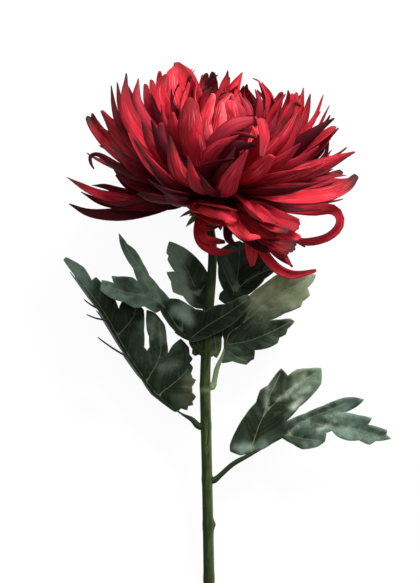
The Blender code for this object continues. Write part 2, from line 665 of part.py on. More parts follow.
def settle(path):
    """Lays the part of a path that would reach below the surface along it, at its own length."""
    result = [path[0]]
    for first, second in zip(path, path[1:]):
        step = second - first
        here = result[-1]
        drop = step.dot(LEAN_UP)
        room = FLOOR_CLEARANCE - height_of(here)
        if drop < room:
            level = step - LEAN_UP * drop
            if level.length < 0.2 * step.length:
                level = here - CORE_MIDDLE
                level -= LEAN_UP * level.dot(LEAN_UP)
            flat_length = max(0.0, step.length_squared - room ** 2) ** 0.5
            step = level.normalized() * flat_length + LEAN_UP * room
        result.append(here + step)
    return result


def spiral_petal(index, draw):
    """The middle line, width, turn and tip of a petal of the spiral, the rim's being the first."""
    share = index / (FILL_PETALS - 1)
    azimuth = index * GOLDEN_ANGLE + draw.uniform(-9, 9)
    root = core_point(bloom_direction(mix(*ROOT_ANGLES, share ** 0.8), azimuth), ROOT_DEPTH)
    start = mix(*START_ANGLES, share ** 0.85) + draw.uniform(-6, 6)
    bend = mix(*BENDS, share ** 1.25) * draw.uniform(0.8, 1.15)
    length = mix(RIM_LENGTH, HALFWAY_LENGTH, min(1, share * 2))
    length = mix(length, MIDDLE_LENGTH, ramp(0.45, 1, share)) * draw.uniform(0.93, 1.05)
    path = bent_path(root, azimuth, start, bend, draw.uniform(-14, 14), length)
    longest = 1.0
    for point in path[PATH_STEPS // 3:]:
        flat = Vector((point.x, point.y))
        reach = (flat - OUTLINE_MIDDLE).length
        longest = min(longest, outline_reach(flat) * REACH_SHARE / max(reach, 1e-6))
    path = [root + (point - root) * longest for point in path]
    width = mix(*FILL_WIDTHS, share) * draw.uniform(0.8, 1.15)
    tip = draw.choice(("point", "point", "round", "notch"))
    return path, width, draw.uniform(-MOST_TURN, MOST_TURN), tip


def bent_path(root, azimuth, start, bend, sway, length):
    """A path that leaves root at the angle start from the bloom's axis and bends towards it."""
    path = [root]
    for step in range(PATH_STEPS):
        s = (step + 0.5) / PATH_STEPS
        heading = bloom_direction(start - bend * s ** BEND_POWER, azimuth + sway * s)
        path.append(path[-1] + heading * length / PATH_STEPS)
    return path


def resting_petal(index):
    azimuth = RESTING_AZIMUTHS[index]
    root = core_point(bloom_direction(RESTING_ROOT_ANGLE, azimuth), ROOT_DEPTH)
    length = RESTING_LENGTH * (1.0 if index % 2 else 0.9)
    path = bent_path(root, azimuth, RESTING_START_ANGLE, RESTING_BEND, 0, length)
    return path, RESTING_WIDTH, 0, "round"


def placed_petal(knots, width, turn, tip):
    points = [Vector(knot) for knot in knots]
    heading = (points[0] - CORE_MIDDLE).normalized()
    root = core_point(heading, ROOT_DEPTH)
    return even_path([root] + points, PLACED_POINTS), width, turn, tip


def width_share(s, tip):
    """A petal's width at a share s of its length, as a share of its greatest width."""
    rise = mix(ROOT_SHARE, 1.0, ramp(0.0, WIDEST_AT, s))
    beyond = max(0.0, (s - WIDEST_AT) / (1 - WIDEST_AT))
    end, power = TIPS[tip]
    return rise * mix(1.0, end, beyond ** power)


def petal_solid(path, width, turn, tip):
    """Points and triangles of one petal: a shallow channel with thin edges, closed at both ends."""
    path = settle(path)
    stations = SPIRAL_STATIONS
    if len(path) == PLACED_POINTS:
        stations = CURLED_STATIONS if path_turn(path) > MANY_TURNS else PETAL_STATIONS
    last = len(path) - 1
    points = []
    outward = (path[0] - CORE_MIDDLE).normalized()
    side = BLOOM_AXIS.cross(outward)
    if side.length < 0.2:
        side = BLOOM_RIGHT.copy()
    previous = 0
    for s in stations:
        index = round(s * last)
        for i in range(previous, index + 1):
            tangent = (path[min(last, i + 1)] - path[max(0, i - 1)]).normalized()
            side = (side - tangent * side.dot(tangent)).normalized()
        previous = index
        towards = -1.0 if side.z > 0 else 1.0
        across = Matrix.Rotation(radians(towards * turn * ramp(0.0, 0.55, s)), 3, tangent) @ side
        near_floor = 1 - ramp(FLOOR_NEAR, FLOOR_FAR, height_of(path[index]))
        across = (across - LEAN_UP * across.dot(LEAN_UP) * near_floor).normalized()
        inner = tangent.cross(across).normalized()
        half = width_share(s, tip) * width / 2
        back = NOTCH_DEPTH * half if tip == "notch" and s == 1 else 0.0
        cup = PETAL_CUP * half * (1 - 0.8 * near_floor)
        thick = PETAL_THICKNESS * mix(1.25, 0.75, s) / 2
        ring = [
            path[index] - across * half + inner * cup,
            path[index] + inner * thick - tangent * back,
            path[index] + across * half + inner * cup,
            path[index] - inner * thick - tangent * back,
        ]
        lift = max(0.0, -min(height_of(corner) for corner in ring))
        points += [corner + LEAN_UP * lift for corner in ring]
    faces = [(0, 1, 3), (1, 2, 3)]
    for ring in range(len(stations) - 1):
        a = 4 * ring
        b = a + 4
        # the split starts from the edge on both faces, so that they never cross
        faces += [(a, b, b + 1), (a, b + 1, a + 1), (a + 2, a + 1, b + 1), (a + 2, b + 1, b + 2)]
        faces += [(a, b + 3, b), (a, a + 3, b + 3), (a + 2, b + 3, a + 3), (a + 2, b + 2, b + 3)]
    end = 4 * (len(stations) - 1)
    faces += [(end, end + 3, end + 1), (end + 1, end + 3, end + 2)]
    return points, faces


def path_turn(path):
    """The angle in degrees through which a path turns."""
    total = 0.0
    for i in range(2, len(path)):
        first = path[i - 1] - path[i - 2]
        second = path[i] - path[i - 1]
        if first.length > 1e-6 and second.length > 1e-6:
            total += degrees(first.angle(second))
    return total


def make_core(surface):
    """The egg-shaped middle of the head, hidden under the petals."""
    bpy.ops.mesh.primitive_ico_sphere_add(subdivisions=2, radius=1)
    core = bpy.context.object
    core.name = "bloom"
    frame = Matrix((BLOOM_RIGHT, BLOOM_FRONT, BLOOM_AXIS)).transposed()
    for vertex in core.data.vertices:
        sized = Vector((
            vertex.co.x * CORE_RADIUS,
            vertex.co.y * CORE_RADIUS,
            vertex.co.z * CORE_HALF_LENGTH,
        ))
        vertex.co = to_world(CORE_MIDDLE + frame @ sized)
    for home in list(core.users_collection):
        home.objects.unlink(core)
    COLLECTION.objects.link(core)
    core.data.materials.append(surface)
    weld(core.data)
    return core


def make_bloom(surface):
    draw = random.Random(SEED)
    core = make_core(surface)
    helpers = bpy.data.collections.new("petals")
    bpy.context.scene.collection.children.link(helpers)
    specs = [placed_petal(*petal) for petal in PLACED_PETALS]
    specs += [resting_petal(index) for index in range(len(RESTING_AZIMUTHS))]
    specs += [spiral_petal(index, draw) for index in range(FILL_PETALS)]
    for index, spec in enumerate(specs):
        points, faces = petal_solid(*spec)
        add_object(f"petal_{index:03d}", points, faces, home=helpers)
    join(core, helpers, "MANIFOLD")
    return core


# Calyx

CUP_RADIUS = 8.5
CUP_PROFILE = [(0.0, -7.2), (2.9, -7.2), (4.4, -6.2), (7.0, -4.2), (8.5, -1.7), (7.6, -1.3), (0.0, -1.3)]
BRACT_COUNT = 13
BRACT_LENGTH = 12.0
BRACT_WIDTH = 5.0
BRACT_THICKNESS = 0.8


def calyx_point(radius, axial, azimuth):
    outward = BLOOM_RIGHT * cos(azimuth) + BLOOM_FRONT * sin(azimuth)
    return RECEPTACLE + BLOOM_AXIS * axial + outward * radius


def make_calyx(surface):
    """The green cup under the head, turned round the bloom's axis, with its pointed bracts."""
    sides = 16
    points = []
    faces = []
    rings = CUP_PROFILE[1:-1]
    for radius, axial in rings:
        points += [calyx_point(radius, axial, 2 * pi * i / sides) for i in range(sides)]
    for ring in range(len(rings) - 1):
        for i in range(sides):
            a = ring * sides + i
            b = ring * sides + (i + 1) % sides
            faces += [(a, b, b + sides, a + sides)]
    faces.append(tuple(reversed(range(sides))))
    top = (len(rings) - 1) * sides
    faces.append(tuple(range(top, top + sides)))
    cup = add_object("calyx", points, faces, surface)
    weld(cup.data)
    split_faces(cup.data)

    helpers = bpy.data.collections.new("bracts")
    bpy.context.scene.collection.children.link(helpers)
    for index in range(BRACT_COUNT):
        azimuth = 2 * pi * index / BRACT_COUNT
        droop = 0.30 if index % 2 else 0.55
        points, faces = bract_solid(azimuth, droop)
        add_object(f"bract_{index:02d}", points, faces, home=helpers)
    join(cup, helpers, "EXACT")
    return cup


def bract_solid(azimuth, droop):
    """One pointed scale, which leaves the cup's side and bends outward and down."""
    stations = (0.0, 0.3, 0.6, 0.85, 1.0)
    points = []
    outward = BLOOM_RIGHT * cos(azimuth) + BLOOM_FRONT * sin(azimuth)
    across = BLOOM_AXIS.cross(outward)
    for s in stations:
        middle = calyx_point(5.5 + BRACT_LENGTH * s, -2.6 - BRACT_LENGTH * droop * s * s, azimuth)
        half = BRACT_WIDTH / 2 * (0.8, 1.0, 0.8, 0.45, 0.08)[stations.index(s)]
        up = BLOOM_AXIS * BRACT_THICKNESS / 2
        keel = BLOOM_AXIS * 0.25 * half
        points += [middle - across * half - keel, middle + up, middle + across * half - keel, middle - up]
    faces = [(0, 1, 3), (1, 2, 3)]
    for ring in range(len(stations) - 1):
        a = 4 * ring
        b = a + 4
        faces += [(a, b, b + 1), (a, b + 1, a + 1), (a + 2, a + 1, b + 1), (a + 2, b + 1, b + 2)]
        faces += [(a, b + 3, b), (a, a + 3, b + 3), (a + 2, b + 3, a + 3), (a + 2, b + 2, b + 3)]
    end = 4 * (len(stations) - 1)
    faces += [(end, end + 3, end + 1), (end + 1, end + 3, end + 2)]
    return points, faces


def main():
    for thing in list(bpy.data.objects):
        bpy.data.objects.remove(thing)
    bpy.context.scene.collection.children.link(COLLECTION)
    green = material("stem_green", (0.09, 0.14, 0.025), 0.5)
    leaf_green = material("leaf_green", (0.035, 0.075, 0.035), 0.45)
    red = material("petal_red", (0.48, 0.012, 0.02), 0.5)
    make_stem(green)
    make_calyx(leaf_green)
    for name, leaf in LEAVES.items():
        make_leaf(name, leaf, leaf_green)
    make_bloom(red)


main()
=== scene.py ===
"""How the spider chrysanthemum looks: fine petals, leaves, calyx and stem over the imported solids.

Lengths are in millimetres until a mesh is made. The flower has a frame of its own: U to the right,
V up the stem, W away from the surface it lies on, with its zero at the stem under the bloom.
"""

import json
import random
from math import acos, asin, cos, degrees, exp, hypot, pi, radians, sin, tanh

import bpy
import numpy as np
from mathutils import Matrix, Vector
from mathutils.geometry import delaunay_2d_cdt

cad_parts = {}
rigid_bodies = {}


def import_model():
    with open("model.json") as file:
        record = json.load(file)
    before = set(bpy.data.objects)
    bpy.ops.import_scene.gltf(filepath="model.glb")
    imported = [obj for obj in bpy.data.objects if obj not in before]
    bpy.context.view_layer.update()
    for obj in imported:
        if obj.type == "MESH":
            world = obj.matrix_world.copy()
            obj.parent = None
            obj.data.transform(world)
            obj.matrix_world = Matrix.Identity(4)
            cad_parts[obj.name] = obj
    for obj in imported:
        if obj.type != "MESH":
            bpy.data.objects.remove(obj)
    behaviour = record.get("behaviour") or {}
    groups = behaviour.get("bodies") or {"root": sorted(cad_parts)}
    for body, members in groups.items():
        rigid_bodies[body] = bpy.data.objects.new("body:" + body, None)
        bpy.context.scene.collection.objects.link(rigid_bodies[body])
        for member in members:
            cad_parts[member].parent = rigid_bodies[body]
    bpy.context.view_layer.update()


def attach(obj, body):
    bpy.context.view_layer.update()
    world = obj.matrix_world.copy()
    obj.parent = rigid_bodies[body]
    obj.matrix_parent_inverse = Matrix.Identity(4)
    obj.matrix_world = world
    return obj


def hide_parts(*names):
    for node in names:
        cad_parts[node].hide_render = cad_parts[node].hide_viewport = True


for thing in list(bpy.data.objects):
    bpy.data.objects.remove(thing)
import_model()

MM = 0.001
SEED = 31
CURVE_STEPS = 96

# The sizes of the solids, which the fine pieces keep. The stem's cut end is a little narrower.
STEM_END = -231.0
STEM_RADIUS_TOP = 2.2
STEM_RADIUS_END = 3.0
CUT_SHARE = 0.93
RECEPTACLE_HEIGHT = 43.0
BOX_MIDDLE = Vector((9.5, -77.5))

# The bloom's axis leans right and up from the surface. The receptacle is an egg round that axis.
BLOOM_AXIS = Vector((0.208, 0.907, 0.366)).normalized()
RECEPTACLE = Vector((3.5, 0.0, 3.0))
CORE_RADIUS = 17.0
CORE_HALF_LENGTH = 20.0
CORE_MIDDLE = RECEPTACLE + BLOOM_AXIS * 19.0
ROOT_DEPTH = 4.0
BLOOM_RIGHT = (Vector((1, 0, 0)) - BLOOM_AXIS * BLOOM_AXIS.x).normalized()
BLOOM_FRONT = BLOOM_RIGHT.cross(BLOOM_AXIS)

# The stem slopes from the receptacle down to its cut end, which touches the surface.
TILT = asin((RECEPTACLE_HEIGHT - CUT_SHARE * STEM_RADIUS_END) / -STEM_END)
LEAN_UP = Vector((0, sin(TILT), cos(TILT)))


# Places

def to_world(point):
    """A point of the flower's frame, in metres, in the frame of the surface it lies on."""
    return Vector((
        point.x - BOX_MIDDLE.x,
        point.y * cos(TILT) - point.z * sin(TILT) - BOX_MIDDLE.y,
        point.y * sin(TILT) + point.z * cos(TILT) + RECEPTACLE_HEIGHT,
    )) * MM


def height_of(point):
    return RECEPTACLE_HEIGHT + point.dot(LEAN_UP)


def bloom_outward(azimuth):
    """The direction straight away from the bloom's axis; azimuth 0 is right and 90 the upper side."""
    return BLOOM_RIGHT * cos(radians(azimuth)) + BLOOM_FRONT * sin(radians(azimuth))


def bloom_direction(polar, azimuth):
    """The direction at an angle from the bloom's axis."""
    return BLOOM_AXIS * cos(radians(polar)) + bloom_outward(azimuth) * sin(radians(polar))


def mix(first, second, share):
    return first + (second - first) * share


def ramp(start, end, value):
    share = min(1.0, max(0.0, (value - start) / (end - start)))
    return share * share * (3 - 2 * share)


def bell(value, middle, width):
    return exp(-(((value - middle) / width) ** 2))


def up(height):
    return Vector((0, 0, height))


def vectors(knots):
    return [Vector(knot) for knot in knots]


def along(points, share):
    """A point of the smooth curve through points, at a share of its knots from 0 to 1."""
    place = share * (len(points) - 1)
    index = min(int(place), len(points) - 2)
    step = place - index
    here, there = points[index], points[index + 1]
    before = points[index - 1] if index else here * 2 - there
    after = points[index + 2] if index + 2 < len(points) else there * 2 - here
    return 0.5 * (
        2 * here
        + (there - before) * step
        + (2 * before - 5 * here + 4 * there - after) * step ** 2
        + (3 * here - before - 3 * there + after) * step ** 3
    )


def step_lengths(path):
    return [(second - first).length for first, second in zip(path, path[1:])]


def even_path(points, count):
    """The smooth curve through points, as count points at equal distances along it."""
    fine = [along(points, i / CURVE_STEPS) for i in range(CURVE_STEPS + 1)]
    lengths = [0.0]
    for length in step_lengths(fine):
        lengths.append(lengths[-1] + length)
    result = []
    index = 0
    for i in range(count):
        target = lengths[-1] * i / (count - 1)
        while index < CURVE_STEPS - 1 and lengths[index + 1] < target:
            index += 1
        step = (target - lengths[index]) / max(1e-9, lengths[index + 1] - lengths[index])
        result.append(fine[index].lerp(fine[index + 1], min(1.0, step)))
    return result


def tangents(path):
    """The direction of a path at each of its points."""
    pairs = zip(path[:1] + path, path[1:] + path[-1:])
    return [(after - before).normalized() for before, after in pairs]


# Meshes

class Shell:
    """Points and faces of a piece and the marks that its look reads, added part by part."""

    def __init__(self, *marks):
        self.points = []
        self.faces = []
        self.marks = {mark: [] for mark in marks}

    def add(self, points, faces, *marks):
        """Adds a part. Each of its marks is a list of vectors at its points, or one vector for all."""
        first = len(self.points)
        self.points += points
        self.faces += [tuple(first + index for index in face) for face in faces]
        for held, mark in zip(self.marks.values(), marks):
            held += mark if isinstance(mark, list) else [mark] * len(points)

    def make(self, name, look, nodes):
        """Makes the piece, which stands for solids of the frame."""
        mesh = bpy.data.meshes.new(name)
        mesh.from_pydata([to_world(point) for point in self.points], [], self.faces)
        for mark, values in self.marks.items():
            layer = mesh.attributes.new(mark, "FLOAT_VECTOR", "POINT")
            layer.data.foreach_set("vector", [part for value in values for part in value])
        mesh.polygons.foreach_set("use_smooth", [True] * len(mesh.polygons))
        mesh.materials.append(look.material)
        mesh.update()
        piece = bpy.data.objects.new(name, mesh)
        bpy.context.scene.collection.objects.link(piece)
        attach(piece, "root")
        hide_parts(*nodes)


def ring_faces(rings, sides):
    """The faces of a closed tube whose points come ring by ring, with its two ends."""
    faces = [tuple(reversed(range(sides))), tuple(range((rings - 1) * sides, rings * sides))]
    for start in range(0, (rings - 1) * sides, sides):
        for side in range(sides):
            a = start + side
            b = start + (side + 1) % sides
            faces.append((a, b, b + sides, a + sides))
    return faces


def tube(centres, radii, sides, ridge=0.0, ridges=0):
    """Points and faces of a closed round tube, with lengthwise ridges if they are asked for."""
    points = []
    headings = tangents(centres)
    across = headings[0].orthogonal()
    for centre, radius, tangent in zip(centres, radii, headings):
        across = (across - tangent * across.dot(tangent)).normalized()
        other = tangent.cross(across)
        for side in range(sides):
            angle = 2 * pi * side / sides
            reach = radius + ridge * cos(ridges * angle)
            points.append(centre + (across * cos(angle) + other * sin(angle)) * reach)
    return points, ring_faces(len(centres), sides)


def thin_blade(grid):
    """Points, faces and marks of a blade closed all round, from rows of (middle, half, s, t).

    Half is the way from the middle to the upper face, and s and t are the shares along and across.
    """
    rows = len(grid) - 1
    columns = len(grid[0]) - 1
    points = []
    marks = []
    numbers = {}
    for row, line in enumerate(grid):
        for column, (middle, half, s, t) in enumerate(line):
            border = row in (0, rows) or column in (0, columns)
            numbers[row, column] = (len(points), len(points) + (not border))
            points += [middle + half] if border else [middle + half, middle - half]
            marks += [(s, t, 0.5)] if border else [(s, t, 1.0), (s, t, 0.0)]
    faces = []
    for row in range(rows):
        for column in range(columns):
            corners = [(row, column), (row, column + 1), (row + 1, column + 1), (row + 1, column)]
            faces.append(tuple(numbers[corner][0] for corner in reversed(corners)))
            faces.append(tuple(numbers[corner][1] for corner in corners))
    return points, faces, marks


# Stem. It is fullest at FULL_PLACE and swells a little where a leaf leaves it.

STEM_LINE = vectors([
    (0.8, STEM_END, 0), (0.4, -193, 0), (-0.3, -154, 0), (-0.8, -122, 0), (-1.2, -88, 0),
    (0.2, -60, 0), (1.9, -38, 0), (2.3, -22, -0.4),
    RECEPTACLE - BLOOM_AXIS * 12.0, RECEPTACLE - BLOOM_AXIS * 7.5,
])
NODE_PLACES = (-196, -168, -144, -116, -95, -77, -61)
NODE_SWELLING = 0.2
NODE_LENGTH = 2.4
NODE_SHADE_LENGTH = 3.5
STEM_RINGS = 230
STEM_SIDES = 36
STEM_RIDGE = 0.10
STEM_RIDGES = 7
PALE_RING = -97.0
PALE_LENGTH = 1.3
BUD_PLACE = -168.5
BUD_HEIGHT = 0.9
BUD_LENGTH = 3.0
DARK_BELOW = -148.0
DARK_BLEND = 4.0
FULL_PLACE = -98.0
FULL_LENGTH = 34.0
FULL_SHARE = 0.09
FULL_LEAN = 0.3


def stem_radius(v):
    plain = mix(STEM_RADIUS_TOP, STEM_RADIUS_END, v / STEM_END)
    return plain + NODE_SWELLING * sum(bell(v, place, NODE_LENGTH) for place in NODE_PLACES)


def stem_middle(v):
    """The point of the stem's centre line at height v along it."""
    for first, second in zip(STEM_LINE, STEM_LINE[1:]):
        if v <= second.y:
            break
    return first.lerp(second, (v - first.y) / (second.y - first.y))


def make_stem():
    centres = even_path(STEM_LINE, STEM_RINGS)
    radii = []
    for centre in centres:
        full = bell(centre.y, FULL_PLACE, FULL_LENGTH)
        radii.append(stem_radius(centre.y) * (1 + FULL_SHARE * full))
        centre.x -= FULL_LEAN * full
    radii[0] *= CUT_SHARE
    points, faces = tube(centres, radii, STEM_SIDES, STEM_RIDGE, STEM_RIDGES)
    marks = []
    sides = []
    for point in points:
        facing = max(0.0, (point - stem_middle(point.y)).normalized().x) ** 3
        along_bud = (point.y - BUD_PLACE) / BUD_LENGTH
        point.x += BUD_HEIGHT * facing * exp(-along_bud ** 2) * (1 + 0.5 * sin(2.2 * along_bud))
        ring = bell(point.y, PALE_RING, PALE_LENGTH)
        node = sum(bell(point.y, place, NODE_SHADE_LENGTH) for place in NODE_PLACES)
        marks.append((ring, min(1.0, node), 1 - point.y / STEM_END))
        # Which way each point faces, for painted shade on the stem's left and painted light on its right.
        across = (point - stem_middle(point.y)).normalized()
        low = ramp(DARK_BELOW + DARK_BLEND, DARK_BELOW - DARK_BLEND, point.y)
        sides.append((across.x, across.z, low))
    shell = Shell("stem_marks", "stem_sides")
    shell.add(points, faces, marks, sides)
    shell.make("stem_fine", stem_look(), ["stem"])


# Leaves. An outline and its ribs are drawn as they are seen from above, as (U, V). Tones say how
# light and how olive the leaf is near some points, as (U, V, light, olive); the lightness is painted
# light and shade. Streaks are painted sheen, pale where a fold catches the light: from (U, V), to
# (U, V), half width and strength. Small lobes stand at the foot of the stalk, and standing lobes of
# a folded half are seen edge-on: foot (U, V), tip (U, V) and half height.

LEAVES = {}
LEAVES["leaf_lower_right"] = dict(
    outline=[
        (11.6, -129.2), (11.4, -126), (15, -117.5), (19.4, -110.3), (25.2, -103.4), (27.3, -97.1),
        (31.5, -94.5), (38.3, -85.6), (41.8, -89.4), (46.5, -86.2), (53, -85.6), (59.3, -85.4),
        (59.3, -93.5), (55.5, -98.5), (47.8, -106), (40.9, -113.4), (51, -109.2), (60, -105.3),
        (70.4, -101.1), (76.5, -100.6), (81.6, -101.9), (77.5, -105.8), (71.9, -108.6), (78.5, -110),
        (85.6, -111.6), (83.7, -115), (93.7, -117.9), (93.2, -120.2), (95.8, -122.4), (87.6, -123.6),
        (84.4, -125.6), (79, -123.2), (73.2, -123.3), (68, -121.5), (64.8, -118.3), (62, -119.4),
        (61.2, -124), (57.1, -126.8), (49.2, -128), (44.4, -125.4), (39.1, -122.4), (36, -123.2),
        (30.2, -127.4), (24, -129.6), (17, -131.4),
    ],
    ribs=[
        [(33.5, -124.8), (41, -120.5), (50, -113), (60, -109), (72, -104)],
        [(23.5, -125.3), (28.5, -112), (37, -102), (44.5, -95.5), (57.5, -87.5)],
        [(28.5, -112), (32, -101), (38, -88)],
        [(50, -113), (61, -115.5), (75, -117), (92, -121.5)],
        [(41, -120.5), (49, -122.5), (58, -123.5)],
    ],
    stalk=[(13, -136, 1.2), (22, -131, 2)],
    joint=(-144, 0),
    base=(33.5, -124.8, 2.5),
    slope=(0.1, 0.02),
    keel=0.16,
    wave=(1.7, 19, 0.4),
    tones=[
        (22, -118, 0, 0.3), (33, -108, 0.05, 0.6), (37, -93, 0.22, 0.6), (47, -89, 0.75, 0.5),
        (57, -88, 0.6, 0.2), (55, -98, 0.42, 0.2), (62, -104, 0.38, 0), (82, -117, 0.58, 0),
        (72, -113, 0.66, 0), (55, -122, 0.36, 0), (45, -115, 0.34, 0), (20, -128, 0.6, 0),
        (28, -126, 0.45, 0), (13, -126, 0, 0), (45, -107, 0.06, 0.5), (42, -104, 0.06, 0.6),
        (24, -122, 0, 0.4), (16, -119, 0, 0), (20, -112, 0, 0), (26, -103, 0.05, 0.2), (37, -117, 0, 0.1),
        (32, -118, 0.03, 0), (34, -123, 0.1, 0.1), (38, -87, 0.02, 0), (78, -102, 0.35, 0),
        (70, -104, 0.42, 0), (52, -113, 0.3, 0), (12, -121, 0, 0),
    ],
    streaks=[
        (50, -90, 41, -100, 1.4, 0.6), (41, -100, 36, -102, 1, 0.45), (53, -96, 45, -100, 1.3, 0.6),
        (49, -102, 45, -106, 1.7, 1), (31, -96, 30.5, -105, 1.1, 0.45), (58, -118, 67, -113, 0.9, 0.8),
        (15, -127, 22, -127, 1.6, 0.3), (43, -119, 49, -114.5, 0.5, 0.5), (62, -111, 72, -109, 0.9, 0.3),
    ],
)
LEAVES["leaf_lower_left"] = dict(
    outline=[
        (-75, -27.2), (-65.5, -32.5), (-61.3, -39.4), (-59, -37.7), (-55.5, -41.5), (-49, -49.4),
        (-47, -54.4), (-45.2, -50.3), (-35.5, -53.2), (-33.7, -55), (-33.6, -66), (-33.5, -74.6),
        (-32, -76.4), (-30.7, -74.6), (-31, -69), (-32.3, -64.5), (-32.3, -55), (-27.8, -56.5),
        (-22.7, -63), (-21.6, -71.4), (-21, -78), (-18.4, -73.5), (-14.2, -70.1), (-9.8, -74.9),
        (-9.6, -78.4), (-7.9, -80.7), (-9.4, -82.9), (-7.8, -85.2), (-8.9, -88.3), (-7.9, -90.9),
        (-6.2, -91.7), (-8.4, -95.4), (-8.2, -98.4), (-6.2, -100.6), (-8.1, -103.2), (-7.7, -105.1),
        (-10.3, -105.5), (-10.8, -107.8), (-14, -106.9), (-18, -109.4), (-30, -108), (-43, -104),
        (-40, -96), (-52, -98), (-62, -90), (-51, -82), (-63, -80), (-77, -68), (-65, -64), (-62, -58),
        (-74, -56), (-85, -43), (-74, -43), (-71.5, -38), (-79.5, -30),
    ],
    ribs=[
        [(-15.3, -108.7), (-28, -98.2), (-41.5, -79), (-54.2, -57.2), (-65.1, -42), (-74.6, -28.2)],
        [(-26, -99.8), (-16, -92), (-9, -85)],
        [(-32, -92.5), (-25, -78), (-25.5, -62)],
        [(-47.5, -68.8), (-40, -60), (-38, -55)],
    ],
    stalk=[(-8.5, -112.5, -0.4)],
    joint=(-116, 180),
    base=(-15.3, -108.7, -1),
    slope=(0.07, -0.05),
    keel=0.1,
    wave=(1.5, 21, 1.1),
    fold_left=86,
    fold_right=6,
    tones=[
        (-70, -34, 0.85, 0), (-64, -42, 0.55, 0), (-58, -46, 0.2, 0), (-54, -52, 0.12, 0.4),
        (-46, -66, 0.02, 0.2), (-44, -56, 0.1, 0.1), (-37, -57, 0.05, 0), (-35, -70, 0.22, 0),
        (-29, -60, 0.5, 0.2), (-24, -66, 0.42, 0.1), (-25, -76, 0.25, 0), (-30, -90, 0, 0.1),
        (-22, -84, 0.28, 0), (-12, -76, 0.2, 0), (-10, -82, 0.1, 0), (-18, -94, 0, 0.2),
        (-10, -94, 0.32, 1), (-10, -102, 0.08, 0.8), (-20, -102, 0, 0.2), (-55, -70, 0, 0),
        (-50, -88, 0, 0), (-70, -58, 0, 0), (-40, -98, 0, 0), (-76, -44, 0.15, 0),
    ],
    streaks=[
        (-28, -56, -30, -70, 1.3, 0.3), (-25, -62, -24, -72, 1.2, 0.22), (-25, -86, -15, -83, 1.6, 0.18),
        (-19, -74, -15, -71, 1.2, 0.2), (-72, -31, -63, -42, 1.6, 0.2), (-9, -92, -11, -96, 1.4, 0.1),
    ],
    standing_lobes=[
        ((-56, -55), (-65, -49.6), 2.6), ((-53.5, -60.5), (-63.6, -57.5), 2.6),
        ((-40.5, -80.5), (-57.8, -69.4), 3.4),
    ],
)
LEAVES["leaf_upper_left"] = dict(
    outline=[
        (-46.6, -14.8), (-42.2, -20.6), (-38.1, -23.6), (-34, -30.5), (-30.6, -37.3), (-25.2, -43.6),
        (-20.3, -49), (-15.2, -49.4), (-10.5, -52.2), (-6.6, -54.6), (-1.1, -55.7), (2.6, -53), (8.4, -52),
        (13.1, -50.4), (17.3, -48), (20.7, -46.9), (22.8, -50.4), (20, -54.6), (15.8, -59.9), (8.4, -65.2),
        (1.6, -68.4), (-4.2, -71), (-8.4, -71.8), (-14.2, -69.2), (-17.9, -65.6), (-22.1, -60.3),
        (-24.9, -55.4), (-27.1, -56.6), (-33.3, -53.2), (-38.1, -54), (-43.6, -50.9), (-49, -49.6),
        (-56.2, -44.8), (-55.5, -39.4), (-49.3, -41), (-50.4, -37.2), (-47.5, -37.6), (-39.4, -38),
        (-36.6, -40.2), (-39.1, -33.2), (-43.2, -27.1), (-45.9, -20.6),
    ],
    ribs=[
        [(-9.8, -70.4), (-16.3, -63.5), (-21.8, -55), (-30, -48.5), (-42, -46), (-53.5, -42.5)],
        [(-21.8, -55), (-29.5, -41.5), (-38.5, -29), (-44, -20)],
        [(-9.8, -70.4), (0, -63), (10, -57), (20.5, -49.5)],
        [(-13, -67), (-13.5, -59), (-12.5, -53)],
    ],
    stalk=[(-7.8, -72.6, 2.2)],
    joint=(-77, 150),
    base=(-9.8, -70.4, 5.4),
    slope=(0.03, 0.11),
    keel=0.15,
    wave=(1.4, 17, 2),
    tones=[
        (-48, -45, 0.62, 0), (-40, -28, 0.55, 0.1), (-44, -17, 0.35, 0.1), (-30, -50, 0.6, 0),
        (-42, -41, 0.3, 0), (-36, -45, 0.55, 0), (-30, -40, 0.62, 0.1), (-23, -48, 0.5, 0),
        (-18, -56, 0.6, 0), (-12, -58, 0.85, 0), (0, -60, 0, 0.3), (12, -54, 0.12, 0.5),
        (22, -47, 0.4, 0.5), (-12, -70, 0, 0), (-36, -56, 0.55, 0), (-21, -57, 0, 0), (-17, -62, 0, 0),
        (-12, -67, 0, 0), (-23, -54, 0, 0), (-6, -66, 0, 0), (-5, -60, 0, 0.1), (-4, -56, 0.05, 0.1),
        (-6, -75, 0.12, 1), (-19, -51, 0.15, 0),
    ],
    streaks=[
        (-16, -54, -9, -61, 2.2, 0.32), (-34, -38, -27, -47, 1.5, 0.2), (-46, -48, -30, -47, 0.5, 0.3),
        (-53, -43, -46, -46, 1.6, 0.12),
    ],
    small_lobes=[dict(
        outline=[
            (-2.2, -64), (-8, -64), (-14, -65.2), (-17.6, -66.8), (-14.6, -69), (-10.2, -70.6),
            (-9.6, -73.4), (-8.2, -75.6), (-8.4, -78), (-6.8, -79.2), (-4.6, -78.4), (-2.2, -79.4),
        ],
        ribs=[[(-4, -66), (-5, -71), (-6.4, -77.4)], [(-5, -67), (-9.4, -67.6), (-14.6, -67.2)]],
        base=(-3, -72, 1.8),
        slope=(-0.1, 0.02),
    )],
)
